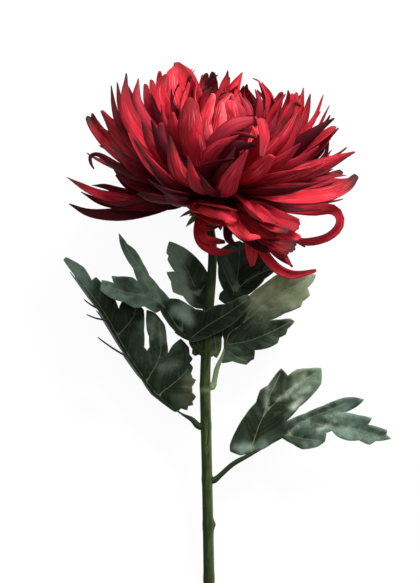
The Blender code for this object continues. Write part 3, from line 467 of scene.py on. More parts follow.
LEAVES["leaf_back_left"] = dict(
    outline=[
        (-20.5, -18.9), (-14.6, -21.2), (-11, -23.3), (-5.3, -28.4), (-1, -34.1), (2.3, -41), (2.6, -48.8),
        (-0.6, -54.6), (-6.3, -54.2), (-9.5, -52.5), (-13.1, -47.8), (-18.4, -45.7), (-19.6, -40),
        (-21.9, -35.2), (-17.6, -34.9), (-21.4, -28.6), (-20.8, -26.6), (-22, -25),
    ],
    ribs=[
        [(-2.6, -53.2), (-6.8, -43), (-12.4, -31.5), (-19.6, -20.2)],
        [(-4.8, -48), (-12.5, -42.5), (-19.8, -36.8)],
        [(-4.8, -48), (-1.5, -41.5)],
    ],
    stalk=[(-2.4, -58, -5.4)],
    joint=(-61, 245),
    base=(-2.6, -53.2, -5.6),
    slope=(0.1, -0.06),
    keel=0.16,
    wave=(0.9, 17, 0),
    tones=[
        (-18, -28, 0.85, 0.15), (-16, -38, 0.9, 0.15), (-12, -47, 0.85, 0.2), (-7, -34, 0.08, 0.3),
        (-2, -44, 0.05, 0.2), (-8, -43, 0.22, 0.3), (-4, -51, 0.08, 0),
    ],
    streaks=[(-19, -27, -9, -49, 1.5, 0.12)],
)
LEAVES["leaf_right"] = dict(
    outline=[
        (21.8, -47.4), (29.5, -41.4), (38.3, -35.4), (47, -35.6), (56.9, -36.5), (55.2, -40.5),
        (52.4, -43.4), (53.6, -47.6), (49.8, -50.6), (48.8, -53.5), (40.4, -56.9), (32.8, -60.6),
        (38, -60.2), (43.3, -59.7), (45.6, -61.1), (41.9, -65.2), (41, -68), (37.6, -69.7), (36.8, -72.5),
        (31.7, -75.1), (24.7, -76.3), (24.2, -81.1), (22.6, -81.8), (20.1, -83.9), (12.9, -82.1),
        (7.2, -83.2), (8.6, -77.5), (8.4, -70.9), (7.2, -65), (10.5, -57.2), (15.8, -51.6),
    ],
    ribs=[
        [(9.3, -73.6), (11.5, -67.2), (17.9, -62.7), (29.9, -52.5), (41.5, -44.6), (54.5, -38)],
        [(9.3, -73.6), (22, -71.2), (33, -66.8), (43.8, -61.3)],
        [(9.3, -75.6), (14.5, -79.6), (20, -82)],
        [(17.9, -62.7), (22, -55.5), (29, -46.5)],
    ],
    stalk=[(4.6, -86.2, -2.4), (7.4, -79.5, -3.6)],
    joint=(-95, -25),
    base=(9.3, -73.6, -4.6),
    slope=(-0.05, 0.02),
    keel=0.13,
    wave=(1.5, 18, 2.6),
    stalk_light=1,
    tones=[
        (50, -40, 1.1, 0.6), (40, -40, 0.85, 0.9), (28, -46, 0.95, 0.9), (36, -54, 0.7, 0.6),
        (46, -50, 0.95, 0.8), (33, -42, 0.9, 1), (41, -46, 0.8, 0.9), (15, -62, 0.12, 0.5),
        (40, -62, 0.12, 0.2), (25, -74, 0.12, 0.2), (4, -74, 0.25, 1), (4, -64, 0.05, 0.8),
        (12, -80, 0.3, 0.2), (42, -58, 0.45, 0.3),
    ],
    streaks=[
        (26, -50, 33, -43, 1.5, 0.5), (30, -54, 24, -49, 1.2, 0.35), (44, -38, 55, -38, 1.6, 0.4),
        (38, -49, 46, -46, 1, 0.3), (52, -50, 44, -54, 1.2, 0.2),
    ],
    small_lobes=[dict(
        outline=[
            (0.4, -60), (6.8, -60), (8.4, -64), (7.2, -70), (6.8, -76), (4.6, -80.4), (2.8, -79.2),
            (0.4, -80.6),
        ],
        ribs=[[(2.4, -62), (3.6, -70), (4.4, -78)]],
        base=(1, -70, 1.4),
        slope=(-0.16, 0.02),
    )],
)
LEAVES["leaf_back_right"] = dict(
    outline=[
        (4.4, -24.7), (10.5, -20.5), (16.8, -18.6), (21, -21.8), (25.6, -21.5), (32.6, -27.4),
        (36.8, -32.2), (35, -34.9), (30, -38.6), (28.4, -41), (21, -47.4), (16.8, -51.5), (12.6, -52.7),
        (8.4, -51.7), (5.6, -49.4), (6.2, -46.4), (8.1, -44.6), (5.6, -38.5), (5.4, -32),
    ],
    ribs=[
        [(12.2, -51), (13.8, -46), (16, -34.1), (16.8, -21)],
        [(13.8, -46), (22, -38.6), (34.6, -32.9)],
        [(13.8, -46), (9.4, -37), (6.4, -27.5)],
    ],
    stalk=[(7.6, -56.6, -8.2)],
    joint=(-62, 300),
    base=(12.2, -51, -10),
    slope=(-0.08, -0.05),
    keel=0.15,
    wave=(0.9, 16, 1.4),
    tones=[(14, -30, 0.3, 0.1), (18, -38, 0.02, 0), (32, -30, 0.1, 0.1), (24, -44, 0.02, 0)],
    streaks=[(9, -28, 15, -45, 1.6, 0.22), (20, -40, 34, -31, 0.8, 0.12)],
)
FOLD_ROUNDING = 1.2
WAVE_SHARE = 0.5
EDGE_STEP = 1.3
EDGE_BOW = 0.03
BLADE_STEP = 1.6
ROW_SHARE = 0.87
EDGE_FREE = 0.6
VEIN_FREE = 0.55
VEIN_STEP = 1.5
VEIN_EVERY = 5.5
VEIN_ANGLE = 46.0
VEIN_TURN = 1.6
VEIN_REACH = 17.0
EDGE_MARGIN = 1.1
LEAF_HALF = 0.21
RIB_SINK = 1.2
RIB_WIDTH = 2.0
PLEAT_SLOPE = 0.26
PLEAT_MOST = 2.6
PLEAT_FADE = 2.5
STALK_SIDES = 12
STALK_ROOT = 1.0
STALK_LEAD = 1.5
STALK_PATH = 60
STALK_RADIUS = 1.35
STALK_FLARE = 0.7
FLARE_SHARE = 0.05
RIB_RADIUS = 0.5
RIB_TIP = 0.2
LOBE_STEPS = 12
LOBE_THICKNESS = 1.1
LOBE_RISE = 7.0
# Marks of stalks and standing lobes, which have no ribs or veins of their own
NO_LINES = (3.0, 3.0, 3.0)
STALK_KIND = (0.5, 1.0, 0.0)
LOBE_KIND = (0.0, 0.0, 0.0)
LOBE_TONE = (0.1, 0.0, 0.0)


def nearest_on_line(point, line):
    """(distance, side, foot) of a flat point from a line of flat points; side is +1 on its right."""
    best = None
    for first, second in zip(line, line[1:]):
        run = second - first
        share = min(1.0, max(0.0, (point - first).dot(run) / run.length_squared))
        foot = first.lerp(second, share)
        gap = (point - foot).length
        if best is None or gap < best[0]:
            side = 1.0 if run.x * (point.y - first.y) - run.y * (point.x - first.x) < 0 else -1.0
            best = (gap, side, foot)
    return best


def leaf_surface(leaf):
    """A function from a flat (U, V) point of the leaf to its place in space."""
    ribs = [vectors(rib) for rib in leaf["ribs"]]
    base_u, base_v, base_w = leaf["base"]
    slope_u, slope_v = leaf["slope"]
    wave, wave_length, wave_start = leaf["wave"]
    fold_left = radians(leaf.get("fold_left", 0.0))
    fold_right = radians(leaf.get("fold_right", 0.0))

    def place(flat):
        gap, side, foot = nearest_on_line(flat, ribs[0])
        fold = (fold_right if side > 0 else fold_left) * gap / (gap + FOLD_ROUNDING)
        spread = foot + (flat - foot) * cos(fold)
        rib_gap = min(nearest_on_line(flat, rib)[0] for rib in ribs)
        w = base_w + slope_u * (foot.x - base_u) + slope_v * (foot.y - base_v)
        w += (slope_u * (flat.x - foot.x) + slope_v * (flat.y - foot.y)) * cos(fold)
        w -= gap * sin(fold)
        ripple = sin(2 * pi * (flat.x * 0.8 + flat.y * 0.6) / wave_length + wave_start)
        w += (leaf["keel"] * rib_gap + WAVE_SHARE * wave * ripple * min(1.0, rib_gap / 7)) * cos(fold)
        return Vector((spread.x, spread.y, w))

    return place


def sloped(lobe):
    """A function like that of leaf_surface for a small lobe, which is no more than a slope."""
    u, v, w = lobe["base"]
    slope_u, slope_v = lobe["slope"]
    return lambda spot: Vector((*spot, w + slope_u * (spot.x - u) + slope_v * (spot.y - v)))


def fine_outline(knots):
    """The leaf's edge: the side between two knots bows a little outward, as a tooth does."""
    pairs = list(zip(knots, knots[1:] + knots[:1]))
    doubled = sum(here.x * there.y - there.x * here.y for here, there in pairs)
    sense = 1.0 if doubled > 0 else -1.0
    result = []
    for here, there in pairs:
        run = there - here
        steps = max(2, round(run.length / EDGE_STEP))
        outward = Vector((run.y, -run.x)).normalized() * sense
        for step in range(steps):
            share = step / steps
            bow = EDGE_BOW * min(run.length, 9.0) * 4 * share * (1 - share)
            result.append(here + run * share + outward * bow)
    return result


def gaps(points, lines):
    """The distance of each flat point from the nearest of some lines, each a list of flat points."""
    starts = np.array([tuple(p) for line in lines for p in line[:-1]])
    ends = np.array([tuple(p) for line in lines for p in line[1:]])
    runs = ends - starts
    spots = np.array([tuple(p) for p in points])[:, None, :]
    shares = ((spots - starts) * runs).sum(2) / np.maximum(1e-9, (runs ** 2).sum(1))
    feet = starts + runs * np.clip(shares, 0, 1)[:, :, None]
    return np.sqrt(((spots - feet) ** 2).sum(2)).min(1)


def within(points, outline):
    """For each flat point, whether it lies inside the outline."""
    spots = np.array([tuple(p) for p in points])
    first = np.array([tuple(p) for p in outline])
    second = np.roll(first, -1, axis=0)
    spans = (first[:, 1] > spots[:, 1:2]) != (second[:, 1] > spots[:, 1:2])
    rise = np.where(second[:, 1] == first[:, 1], 1.0, second[:, 1] - first[:, 1])
    crossing = first[:, 0] + (spots[:, 1:2] - first[:, 1]) / rise * (second[:, 0] - first[:, 0])
    return (spans & (spots[:, 0:1] < crossing)).sum(1) % 2 == 1


def fine_ribs(leaf, edge):
    """The ribs as smooth lines, cut where they would leave the blade."""
    result = []
    for rib in leaf["ribs"]:
        knots = vectors(rib)
        line = even_path(knots, max(4, round(sum(step_lengths(knots)) / VEIN_STEP)))
        keep = within(line, edge) & (gaps(line, [edge + edge[:1]]) > EDGE_MARGIN)
        line = [point for point, good in zip(line, keep) if good]
        if len(line) > 2:
            result.append(line)
    return result


def side_veins(ribs, edge):
    """Veins that leave each rib in turn to its left and right and bend towards its tip."""
    result = []
    closed = [edge + edge[:1]]
    every = max(2, round(VEIN_EVERY / VEIN_STEP))
    for number, rib in enumerate(ribs):
        for index in range(2, len(rib) - 2, every):
            tangent = (rib[index + 1] - rib[index - 1]).normalized()
            for side, start in ((1, rib[index]), (-1, rib[index + 1])):
                line = [start]
                angle = side * VEIN_ANGLE
                others = ribs[:number] + ribs[number + 1:] + result
                while len(line) * VEIN_STEP < VEIN_REACH:
                    turned = Matrix.Rotation(radians(angle), 2) @ tangent
                    spot = line[-1] + turned * VEIN_STEP
                    if not within([spot], edge)[0] or gaps([spot], closed)[0] < EDGE_MARGIN:
                        break
                    if others and gaps([spot], others)[0] < EDGE_MARGIN:
                        break
                    line.append(spot)
                    angle -= side * VEIN_TURN
                if len(line) > 2:
                    result.append(line)
    return result


def fine_blade(leaf):
    """Flat points and triangles of a blade, and each point's distances from ribs, veins and edge."""
    edge = fine_outline(vectors(leaf["outline"]))
    closed = [edge + edge[:1]]
    ribs = fine_ribs(leaf, edge)
    veins = side_veins(ribs, edge)
    flat = list(edge)
    pairs = [(i, (i + 1) % len(edge)) for i in range(len(edge))]
    for line in ribs + veins:
        first = len(flat)
        flat += line
        pairs += [(first + i, first + i + 1) for i in range(len(line) - 1)]
    low_u, low_v = (min(values) for values in zip(*edge))
    high_u, high_v = (max(values) for values in zip(*edge))
    spots = []
    shift = 0
    v = low_v
    while v < high_v:
        u = low_u + shift
        while u < high_u:
            spots.append(Vector((u, v)))
            u += BLADE_STEP
        v += BLADE_STEP * ROW_SHARE
        shift = BLADE_STEP / 2 - shift
    keep = within(spots, edge)
    keep &= gaps(spots, closed) > EDGE_FREE * BLADE_STEP
    keep &= gaps(spots, ribs + veins) > VEIN_FREE * BLADE_STEP
    flat += [spot for spot, good in zip(spots, keep) if good]
    flat, _, faces, _, _, _ = delaunay_2d_cdt(flat, pairs, [list(range(len(edge)))], 1, 1e-5)
    return flat, faces, list(zip(gaps(flat, ribs), gaps(flat, veins), gaps(flat, closed)))


def tone_at(leaf, spot):
    """How much painted light and shade and how olive a leaf is at a flat point of it, and its painted sheen
    there.
    """
    light = 0
    olive = 0
    total = 0
    for u, v, near_light, near_olive in leaf["tones"]:
        weight = 1 / (2 + (Vector((u, v)) - spot).length_squared) ** 2
        light += weight * near_light
        olive += weight * near_olive
        total += weight
    sheen = 0
    for u, v, end_u, end_v, width, strength in leaf.get("streaks", []):
        away = gaps([spot], [[(u, v), (end_u, end_v)]])[0]
        sheen = max(sheen, strength * bell(away, 0, width))
    return light / total, olive / total, sheen


def add_blade(shell, leaf, blade, place):
    """Adds a blade with both of its sides and its edge: the leaf's own, or that of a small lobe."""
    flat, faces, lines = fine_blade(blade)
    middle = []
    for spot, (rib_gap, vein_gap, edge_gap) in zip(flat, lines):
        pleat = PLEAT_SLOPE * (PLEAT_MOST - min(vein_gap, PLEAT_MOST)) * ramp(0, PLEAT_FADE, edge_gap)
        middle.append(place(spot) - up(RIB_SINK * exp(-rib_gap / RIB_WIDTH) + pleat))
    normals = [up(0) for _ in middle]
    for face in faces:
        a, b, c = (middle[index] for index in face)
        for index in face:
            normals[index] += (b - a).cross(c - a)
    count = len(middle)
    halves = [normal.normalized() * LEAF_HALF for normal in normals]
    points = [point + half for point, half in zip(middle, halves)]
    points += [point - half for point, half in zip(middle, halves)]
    sides = {(face[i], face[(i + 1) % 3]) for face in faces for i in range(3)}
    solid = [tuple(face) for face in faces]
    solid += [tuple(count + index for index in reversed(face)) for face in faces]
    solid += [(b, a, a + count, b + count) for a, b in sorted(sides) if (b, a) not in sides]
    kinds = [(1.0, 0.0, 0.0)] * count + [(0.0, 0.0, 0.0)] * count
    shell.add(points, solid, lines * 2, kinds, [tone_at(leaf, spot) for spot in flat] * 2)


def add_stalk(shell, leaf, place):
    """Adds the stalk, from inside the stem to under the blade, where it runs on as the main rib."""
    v, azimuth = leaf["joint"]
    outward = Vector((cos(radians(azimuth)), 0, sin(radians(azimuth))))
    seat = stem_middle(v) + outward * (stem_radius(v) - STALK_ROOT)
    line = [seat, seat + outward * (STALK_ROOT + STALK_LEAD)]
    line += vectors(leaf["stalk"])
    line.append(place(Vector(leaf["base"][:2])) - up(RIB_SINK))
    free = len(line)
    below = up(RIB_SINK + LEAF_HALF + RIB_RADIUS)
    line += [place(knot) - below for knot in vectors(leaf["ribs"][0][1:-1])]
    lengths = step_lengths(line)
    enters = sum(lengths[:free - 1]) / sum(lengths)
    radii = []
    for index in range(STALK_PATH):
        share = index / (STALK_PATH - 1)
        radius = mix(STALK_RADIUS, RIB_RADIUS, ramp(0.4 * enters, enters, share))
        radius = mix(radius, RIB_TIP, ramp(enters, 1, share))
        radii.append(radius + STALK_FLARE * bell(share, 0, FLARE_SHARE))
    # The stalk's painted light, where the leaf gives stalk_light.
    tone = (leaf.get("stalk_light", 0.0), 0.0, 0.0)
    shell.add(*tube(even_path(line, STALK_PATH), radii, STALK_SIDES), NO_LINES, STALK_KIND, tone)


def standing_lobe(foot, tip, height):
    """A lobe of a folded half, which stands up and shows the viewer no more than its edge."""
    run = tip - foot
    side = Vector((-run.y, run.x, 0)).normalized() * LOBE_THICKNESS / 2
    points = []
    for step in range(LOBE_STEPS + 1):
        share = step / LOBE_STEPS
        middle = foot + run * share + side * sin(pi * share)
        half = height * (0.5 + share) * (1 - share ** 3) ** 0.5 + 0.2
        across = side * (1 - 0.5 * share)
        for out, rise in ((1, 1), (-1, 1), (-1, -1), (1, -1)):
            points.append(middle + across * out + up(rise * half))
    return points, ring_faces(LOBE_STEPS + 1, 4)


def make_leaf(name, leaf, look):
    shell = Shell("leaf_lines", "leaf_kind", "leaf_tone")
    place = leaf_surface(leaf)
    add_blade(shell, leaf, leaf, place)
    for lobe in leaf.get("small_lobes", []):
        add_blade(shell, leaf, lobe, sloped(lobe))
    add_stalk(shell, leaf, place)
    for foot, tip, height in leaf.get("standing_lobes", []):
        foot = place(Vector(foot)) + up(LOBE_RISE)
        lobe = standing_lobe(foot, Vector((*tip, foot.z)), height)
        shell.add(*lobe, NO_LINES, LOBE_KIND, LOBE_TONE)
    shell.make(name + "_fine", look, [name])


# Bloom. Each petal placed one by one: (width, turn, kind of tip and shade, knots). A knot is
# (U, V, W), and the first is where the petal leaves the head.

PLACED_PETALS = [
    # left side, the low dark ones
    (7, 60, "point black", (-18, 0, 14), (-34, -4, 16), (-49, -5.5, 15), (-62, -4.5, 13), (-72.7, 0.4, 10)),
    (6, 60, "point tip", (-18, 3, 14), (-34, 1.5, 20), (-48, 3, 20), (-60, 6.3, 18), (-73.7, 14.2, 13)),
    (5, 55, "point dark", (-18, 5, 10), (-32, 3.5, 13), (-44, 6, 12), (-54, 9.3, 8), (-61, 10.3, 4)),
    (5, 55, "point dark", (-18, 0, 12), (-38, -0.5, 16), (-54, 0.8, 16), (-66.5, 6.6, 12)),
    (8, -50, "point dark", (-18, 1, 18), (-34, 0, 24), (-46, -1, 24), (-58, 2, 20)),
    (6, 55, "point dark", (-14, 0, 18), (-26, -1, 24), (-38, -1.5, 24), (-50, -2.6, 20)),
    (9, -50, "round dark", (-12, 2, 22), (-20, 0.5, 34), (-28, 1.5, 42), (-36, 5, 46)),
    (7, -50, "point dark", (-8, 0, 28), (-12, -1, 46), (-17, 0, 60), (-22, 3.5, 68)),
    # left side, from the hooked one up
    (
        7, -60, "point dark", (-16, 9, 22), (-34, 12, 34), (-48, 19, 40), (-56.5, 24.6, 40),
        (-60.3, 24, 40), (-60, 20.5, 40), (-58.4, 17.6, 40),
    ),
    (
        7.5, 65, "notch edged", (-16, 12, 16), (-34, 18, 22), (-48, 28, 24), (-57.5, 39, 22),
        (-61.5, 46.7, 20),
    ),
    (8, -60, "round plain", (-16, 14, 20), (-34, 21, 30), (-45, 32, 34), (-51, 41, 34), (-55.3, 48, 33)),
    (5, 65, "point dark", (-14, 18, 16), (-32, 26, 20), (-44, 37, 22), (-48.6, 49, 22), (-50.4, 61.7, 20)),
    (7, 65, "point tip", (-14, 16, 24), (-29, 24, 32), (-39, 37, 35), (-45, 50, 34), (-47, 62.6, 31)),
    (8.5, 65, "point tip", (-12, 18, 28), (-25, 25, 38), (-36, 37, 43), (-42.5, 51, 42), (-42.2, 67, 38)),
    (8, -60, "point pink", (-10, 22, 24), (-22, 30, 33), (-32, 41, 37), (-37, 53, 37), (-36, 64.6, 35)),
    (7, 65, "round dusty", (-8, 26, 20), (-20, 35, 26), (-29, 46, 30), (-32, 54, 31), (-32.6, 62, 31)),
    (9, 60, "point dark", (-14, 8, 24), (-28, 13, 36), (-40, 20, 42), (-50, 30, 44)),
    (9, 60, "point dark", (-14, 6, 20), (-30, 9, 28), (-42, 13, 31), (-50, 20, 31)),
    (8, 45, "point dark", (-14, 4, 18), (-30, 5, 24), (-42, 9, 25), (-48, 15, 24)),
    (9, 60, "point plain", (-14, 8, 26), (-24, 14, 38), (-33, 23, 46), (-41, 36, 50)),
    (8, 45, "point tip", (-14, 12, 22), (-28, 19, 32), (-40, 29, 37), (-48, 42, 38)),
    # left front, which looks at the viewer
    (9, -32, "point edged", (-12, 7, 30), (-22, 11, 46), (-30, 19, 57), (-38, 32.5, 64)),
    (10, -32, "point edged", (-12, 14, 30), (-22, 21, 43), (-29, 30, 50), (-34, 41.6, 54)),
    (9.5, -32, "point edged", (-4, 8, 32), (-10, 8.5, 50), (-16, 17, 63), (-19.3, 33.5, 71)),
    (8, -32, "point dark", (-8, 12, 32), (-18, 18, 46), (-24, 28, 54), (-29, 42, 58)),
    (8, -32, "round mauve", (-10, 14, 30), (-19, 20, 43), (-24, 29, 50), (-24, 41, 53)),
    (7, -32, "point pink", (-8, 22, 30), (-17, 30, 42), (-22.5, 40, 47), (-24, 50.6, 48)),
    (8, -32, "round bright", (-6, 24, 32), (-13, 30, 44), (-17.5, 38, 50), (-18.5, 46.5, 52)),
    (6, -32, "round pink", (-4, 26, 34), (-9, 32, 44), (-13, 39, 49), (-13.5, 47.5, 50)),
    (6, -32, "point mauve", (-8, 26, 26), (-18, 34, 34), (-26, 45, 38), (-29.5, 57, 38)),
    (9, -32, "point dark", (-8, 6, 34), (-17, 6, 50), (-25, 12, 60), (-32, 23, 65)),
    (9, -32, "point dark", (-6, 4, 32), (-14, 3, 48), (-22, 5, 58), (-31, 12, 62)),
    # crown, from left to right
    (8, 40, "round plain", (-4, 32, 8), (-15, 42, 12), (-23, 53, 16), (-27, 62, 19)),
    (12, 62, "hood lively", (0, 34, 12), (-5, 46, 16), (-9.5, 57, 20), (-14, 67, 22), (-17, 73.6, 21)),
    (6, 0, "point tip", (2, 36, 14), (-4, 48, 18), (-8, 58, 21), (-10.5, 65, 22), (-8.2, 70.4, 21)),
    (11, 62, "hood lively", (-4, 30, 20), (-14, 40, 30), (-22, 49, 36), (-25, 58, 38), (-21.5, 66.5, 36)),
    (6, 62, "point dark", (-5, 30, 24), (-13, 40, 35), (-18.5, 49, 40), (-19, 59, 40)),
    (11, 62, "hood bright", (-3, 30, 18), (-11, 41, 26), (-17, 53, 31), (-19, 63, 31), (-17, 71, 28)),
    (10, 62, "round bright", (-3, 30, 26), (-9, 41, 36), (-14, 51, 41), (-10, 62.5, 41)),
    (8, 0, "round bright", (-1, 32, 22), (-5, 44, 29), (-8, 54, 33), (-6, 63, 31)),
    (15, 0, "hood lively", (-2, 14, 38), (-7.5, 20, 52), (-10, 34, 63), (-9.3, 53.5, 62)),
    (9.5, 10, "round dark", (8, 38, 8), (4, 48, 8), (0.5, 59, 10), (2.1, 69.3, 14)),
    (5, 0, "point dark", (4, 36, 10), (1, 48, 12), (-1.5, 58, 14), (-1.3, 66.5, 15)),
    (9, 0, "point edged", (10, 38, 6), (9, 50, 8), (8.5, 61, 10), (10.3, 70, 12)),
    (7.5, 0, "point bright", (12, 36, 10), (12, 48, 12), (13.5, 59, 14), (18, 69, 15)),
    (6, 0, "point bright", (14, 38, 14), (15, 48, 18), (15.5, 57, 20), (14, 63, 20)),
    # the closed middle
    (11, 0, "round coral", (2, 16, 38), (-1, 28, 52), (-3.5, 41, 58), (2.5, 55.8, 56)),
    (10, 0, "round coral", (3, 22, 34), (3, 32, 48), (5, 42, 53), (7, 51.8, 51)),
    (8, 0, "square coral", (8, 24, 33), (11, 34, 44), (12.5, 44, 49), (10, 52.6, 48)),
    (6, 0, "round pink", (14, 26, 32), (17, 37, 43), (17.5, 46, 47), (12, 55.4, 45)),
    (5, 0, "point pink", (17, 27, 30), (20.5, 38, 39), (20.5, 48, 42), (15.5, 56.8, 40)),
    (10, 0, "round coral", (4, 30, 34), (5, 42, 43), (8, 51, 45), (12.5, 56.4, 41)),
    # straps that cross in front of it
    (8.5, 0, "round pink", (-2, 18, 40), (2, 28, 56), (12, 38, 63), (25.5, 42.6, 60)),
    (9, 0, "point plain", (-4, 12, 38), (-1, 20, 56), (6, 28, 65), (16, 34, 67)),
    (7, 0, "round plain", (12, 32, 34), (18, 40, 48), (25, 42.5, 58), (28, 34, 65), (27, 22.5, 70)),
    (5, 0, "round mauve", (8, 24, 40), (10, 31, 56), (16, 33.8, 64), (25.2, 32.2, 68)),
    (9, 0, "point dark", (0, 10, 36), (-3, 14, 53), (4, 19, 64), (14, 22, 69)),
    (10, 0, "round dark", (4, 12, 36), (6, 18, 52), (12, 26, 62), (24, 29, 65)),
    (9, 0, "point dark", (6, 8, 36), (6, 8, 54), (9, 16, 65), (14, 28, 68)),
    (10, 0, "point plain", (2, 8, 34), (-4, 4.5, 54), (-8, 11, 67), (-10, 23, 72)),
    (10, 0, "point dark", (6, 8, 34), (3, 3, 53), (-1, 6, 65), (-5, 15, 72)),
    # right, from the top down
    (5.5, 0, "round pink", (18, 34, 16), (27, 44, 20), (30, 55, 25), (27, 63, 28), (23, 65.2, 28)),
    (7, 62, "point lively", (18, 34, 10), (27, 43, 12), (31.5, 54, 14), (28, 63.6, 17)),
    (4, -42, "point dark", (16, 34, 20), (23, 42, 28), (24.5, 51, 33), (20, 60.3, 35)),
    (5, -42, "point pink", (17, 34, 20), (25, 42, 28), (27, 51, 33), (24.3, 59, 35)),
    (4, 0, "point dusty", (15, 32, 24), (20, 40, 34), (22, 48, 38), (18.2, 55.6, 39)),
    (5, 42, "point dark", (20, 32, 14), (30, 40, 18), (34, 49, 22), (33.1, 55.4, 24)),
    (7.5, 40, "point lively", (20, 32, 16), (31, 40, 22), (36, 50, 26), (40.3, 57, 27)),
    (6, -42, "round plain", (22, 28, 18), (33, 33, 28), (40, 44, 33), (44.5, 51.5, 33), (48.2, 50, 34)),
    (5.5, 42, "round pink", (24, 28, 12), (37, 36, 18), (44, 46, 22), (45.7, 57, 23)),
    (6, 42, "point pink", (24, 28, 10), (38, 34, 13), (47, 46, 15), (49.8, 60.8, 15)),
    (6, 42, "point tip", (24, 26, 14), (38, 31, 18), (49, 41, 20), (53.3, 57.3, 19)),
    (4, 42, "point pink", (24, 24, 4), (40, 30, 6), (54, 42, 8), (60.4, 57.4, 9)),
    (4, -42, "point plain", (26, 22, 8), (42, 27, 10), (56, 37, 12), (63.5, 52, 14)),
    (8, -62, "point black", (24, 18, 26), (38, 22, 36), (52, 34, 42), (65.1, 43.7, 42)),
    (6.5, 42, "round pink", (24, 17, 22), (38, 20, 32), (54, 30, 37), (66, 39.5, 36)),
    (4.5, 42, "point black", (26, 14, 18), (44, 17, 24), (58, 25, 28), (63, 36, 28)),
    (4.5, 42, "point plain", (26, 14, 12), (42, 15, 14), (57, 19, 16), (64.6, 28.4, 15)),
    (10.5, -62, "point lively", (22, 10, 24), (40, 12, 34), (58, 18, 37), (76, 26.6, 32)),
    (5, 42, "point dusty", (25, 9, 16), (44, 9, 20), (60, 14, 20), (72, 15, 17)),
    (4, 42, "point dark", (24, 6, 10), (42, 5, 12), (56, 7, 11), (66.5, 12, 9)),
    (8.5, 62, "round edged", (20, 4, 28), (38, 2.5, 40), (58, 3.5, 42), (70, 8, 38), (77, 14.6, 33)),
    (8, 40, "point dark", (20, 5, 18), (34, 2, 24), (50, -1, 26), (64, -2, 24)),
    (
        7, 45, "round plain", (20, 2, 22), (38, -3.2, 30), (54, -4.3, 32), (62.5, -3.4, 31),
        (67, -6.5, 30), (66.3, -12, 30), (60, -17, 31), (50, -18.8, 32), (38, -16, 36),
    ),
    # right front, which looks at the viewer
    (11, 10, "point plain", (9, 8, 34), (8, 2.8, 56), (11, 10, 71), (20, 26, 79)),
    (10, -24, "round bright", (14, 10, 34), (20, 11, 52), (26, 16, 65), (33, 23.6, 72)),
    (10, -24, "point plain", (16, 8, 30), (27, 9, 47), (40, 13, 58), (52, 17.3, 62)),
    (7.5, -24, "point bright", (16, 16, 32), (27, 22, 45), (38, 33, 50), (46, 47, 48)),
    (9, -24, "point plain", (18, 16, 28), (31, 19, 40), (41, 29, 46), (47.5, 46, 46)),
    (7, -24, "point dusty", (16, 22, 32), (25, 28, 43), (32, 37, 48), (36, 46.5, 49)),
    (7, -24, "point tip", (18, 20, 30), (28, 25, 42), (35, 33, 48), (40, 44, 49)),
    (9, -24, "point plain", (16, 12, 32), (28, 15, 47), (38, 21, 56), (47, 30, 60)),
    (8, -24, "point plain", (14, 18, 34), (22, 24, 48), (28, 32, 55), (33, 41, 58)),
    (9, -24, "point bright", (18, 10, 26), (32, 10, 39), (46, 14, 45), (60, 21, 46)),
    (9, -24, "point plain", (18, 12, 28), (32, 14, 41), (46, 20, 48), (57, 29, 49)),
    (8, -24, "point tip", (20, 14, 22), (36, 17, 31), (48, 25, 35), (56, 36, 35)),
    (8, -24, "point plain", (20, 16, 20), (34, 21, 29), (44, 32, 33), (50.5, 46, 33)),
    (9, -24, "point plain", (20, 8, 20), (36, 7, 28), (50, 8, 30), (63, 12.5, 28)),
    (9, -24, "point dark", (14, 6, 30), (26, 4, 48), (40, 5, 60), (53, 8.5, 65)),
    (5, 50, "point black", (18, 3, 26), (28, 0, 44), (38, -3, 52), (49, -4.2, 52), (58, -3.4, 48)),
    (4.5, 50, "point black", (24, 12, 18), (44, 15, 28), (55, 18.5, 30), (61, 25, 28), (62.6, 36, 25)),
    (6, 60, "round pink", (22, 16, 20), (40, 22, 32), (53, 29.5, 35), (60, 35, 33), (65, 39.6, 30)),
    (9, 60, "round dark", (-6, 2, 12), (-9, 2.6, 17), (-14, 4, 20), (-21, 5, 21)),
    (9, 60, "round black", (0, 2, 16), (-4, 3, 24), (-9, 4, 28), (-15, 4, 30)),
    # hanging under the head, from left to right
    (7, 30, "round bright", (-2, 0, 28), (-6, -3, 42), (-2, -5, 52), (6, -7.5, 56), (15, -9.5, 56)),
    (5.5, 30, "round plain", (0, 1, 30), (-3, -0.5, 48), (4, -2, 60), (15, -4.5, 66)),
    (8, 0, "round plain", (-2, 1, 26), (-7, -1, 38), (-7, -4, 46), (0, -6, 50), (8, -8, 50)),
    (8.5, 20, "round bright", (6, 0, 26), (10, -6, 44), (14, -13, 55), (20, -18, 58), (27, -18, 58)),
    (8.5, -30, "round lively", (14, 4, 30), (17.5, 0, 52), (21, -6, 66), (28, -10.5, 74)),
    (8, 40, "round edged", (16, 1, 26), (25, -7, 46), (33, -13, 58), (41, -15.5, 62)),
    (9, 40, "round lively", (14, -1, 24), (20, -9, 42), (27, -15, 52), (35, -18, 54)),
    (9, 42, "square plain", (16, 1, 28), (26, -4, 46), (37, -9.5, 56), (46.5, -13, 58)),
    (9, 40, "round bright", (16, 0, 24), (25, -8, 42), (36, -15, 52), (47.5, -18.5, 55)),
    (11, 40, "square edged", (15, -2, 20), (24, -13, 34), (34, -20, 42), (45, -23.5, 43)),
    (9, 40, "round dark", (14, -2, 22), (22, -9, 38), (29, -15, 46), (37, -19, 48)),
    (9, 30, "point dark", (12, -1, 22), (16, -9, 34), (23, -15, 42), (31, -17, 45)),
    (6, 0, "point black", (20, 0, 14), (30, -9, 22), (41, -17, 25), (50.5, -22.4, 24)),
    (7, 20, "point dark", (18, 0, 16), (26, -12, 24), (35, -25, 26), (44, -32.4, 24)),
    (7.5, 45, "round bright", (14, 0, 17), (19, -11, 26), (22.2, -21, 28), (22.9, -32.4, 25)),
    (
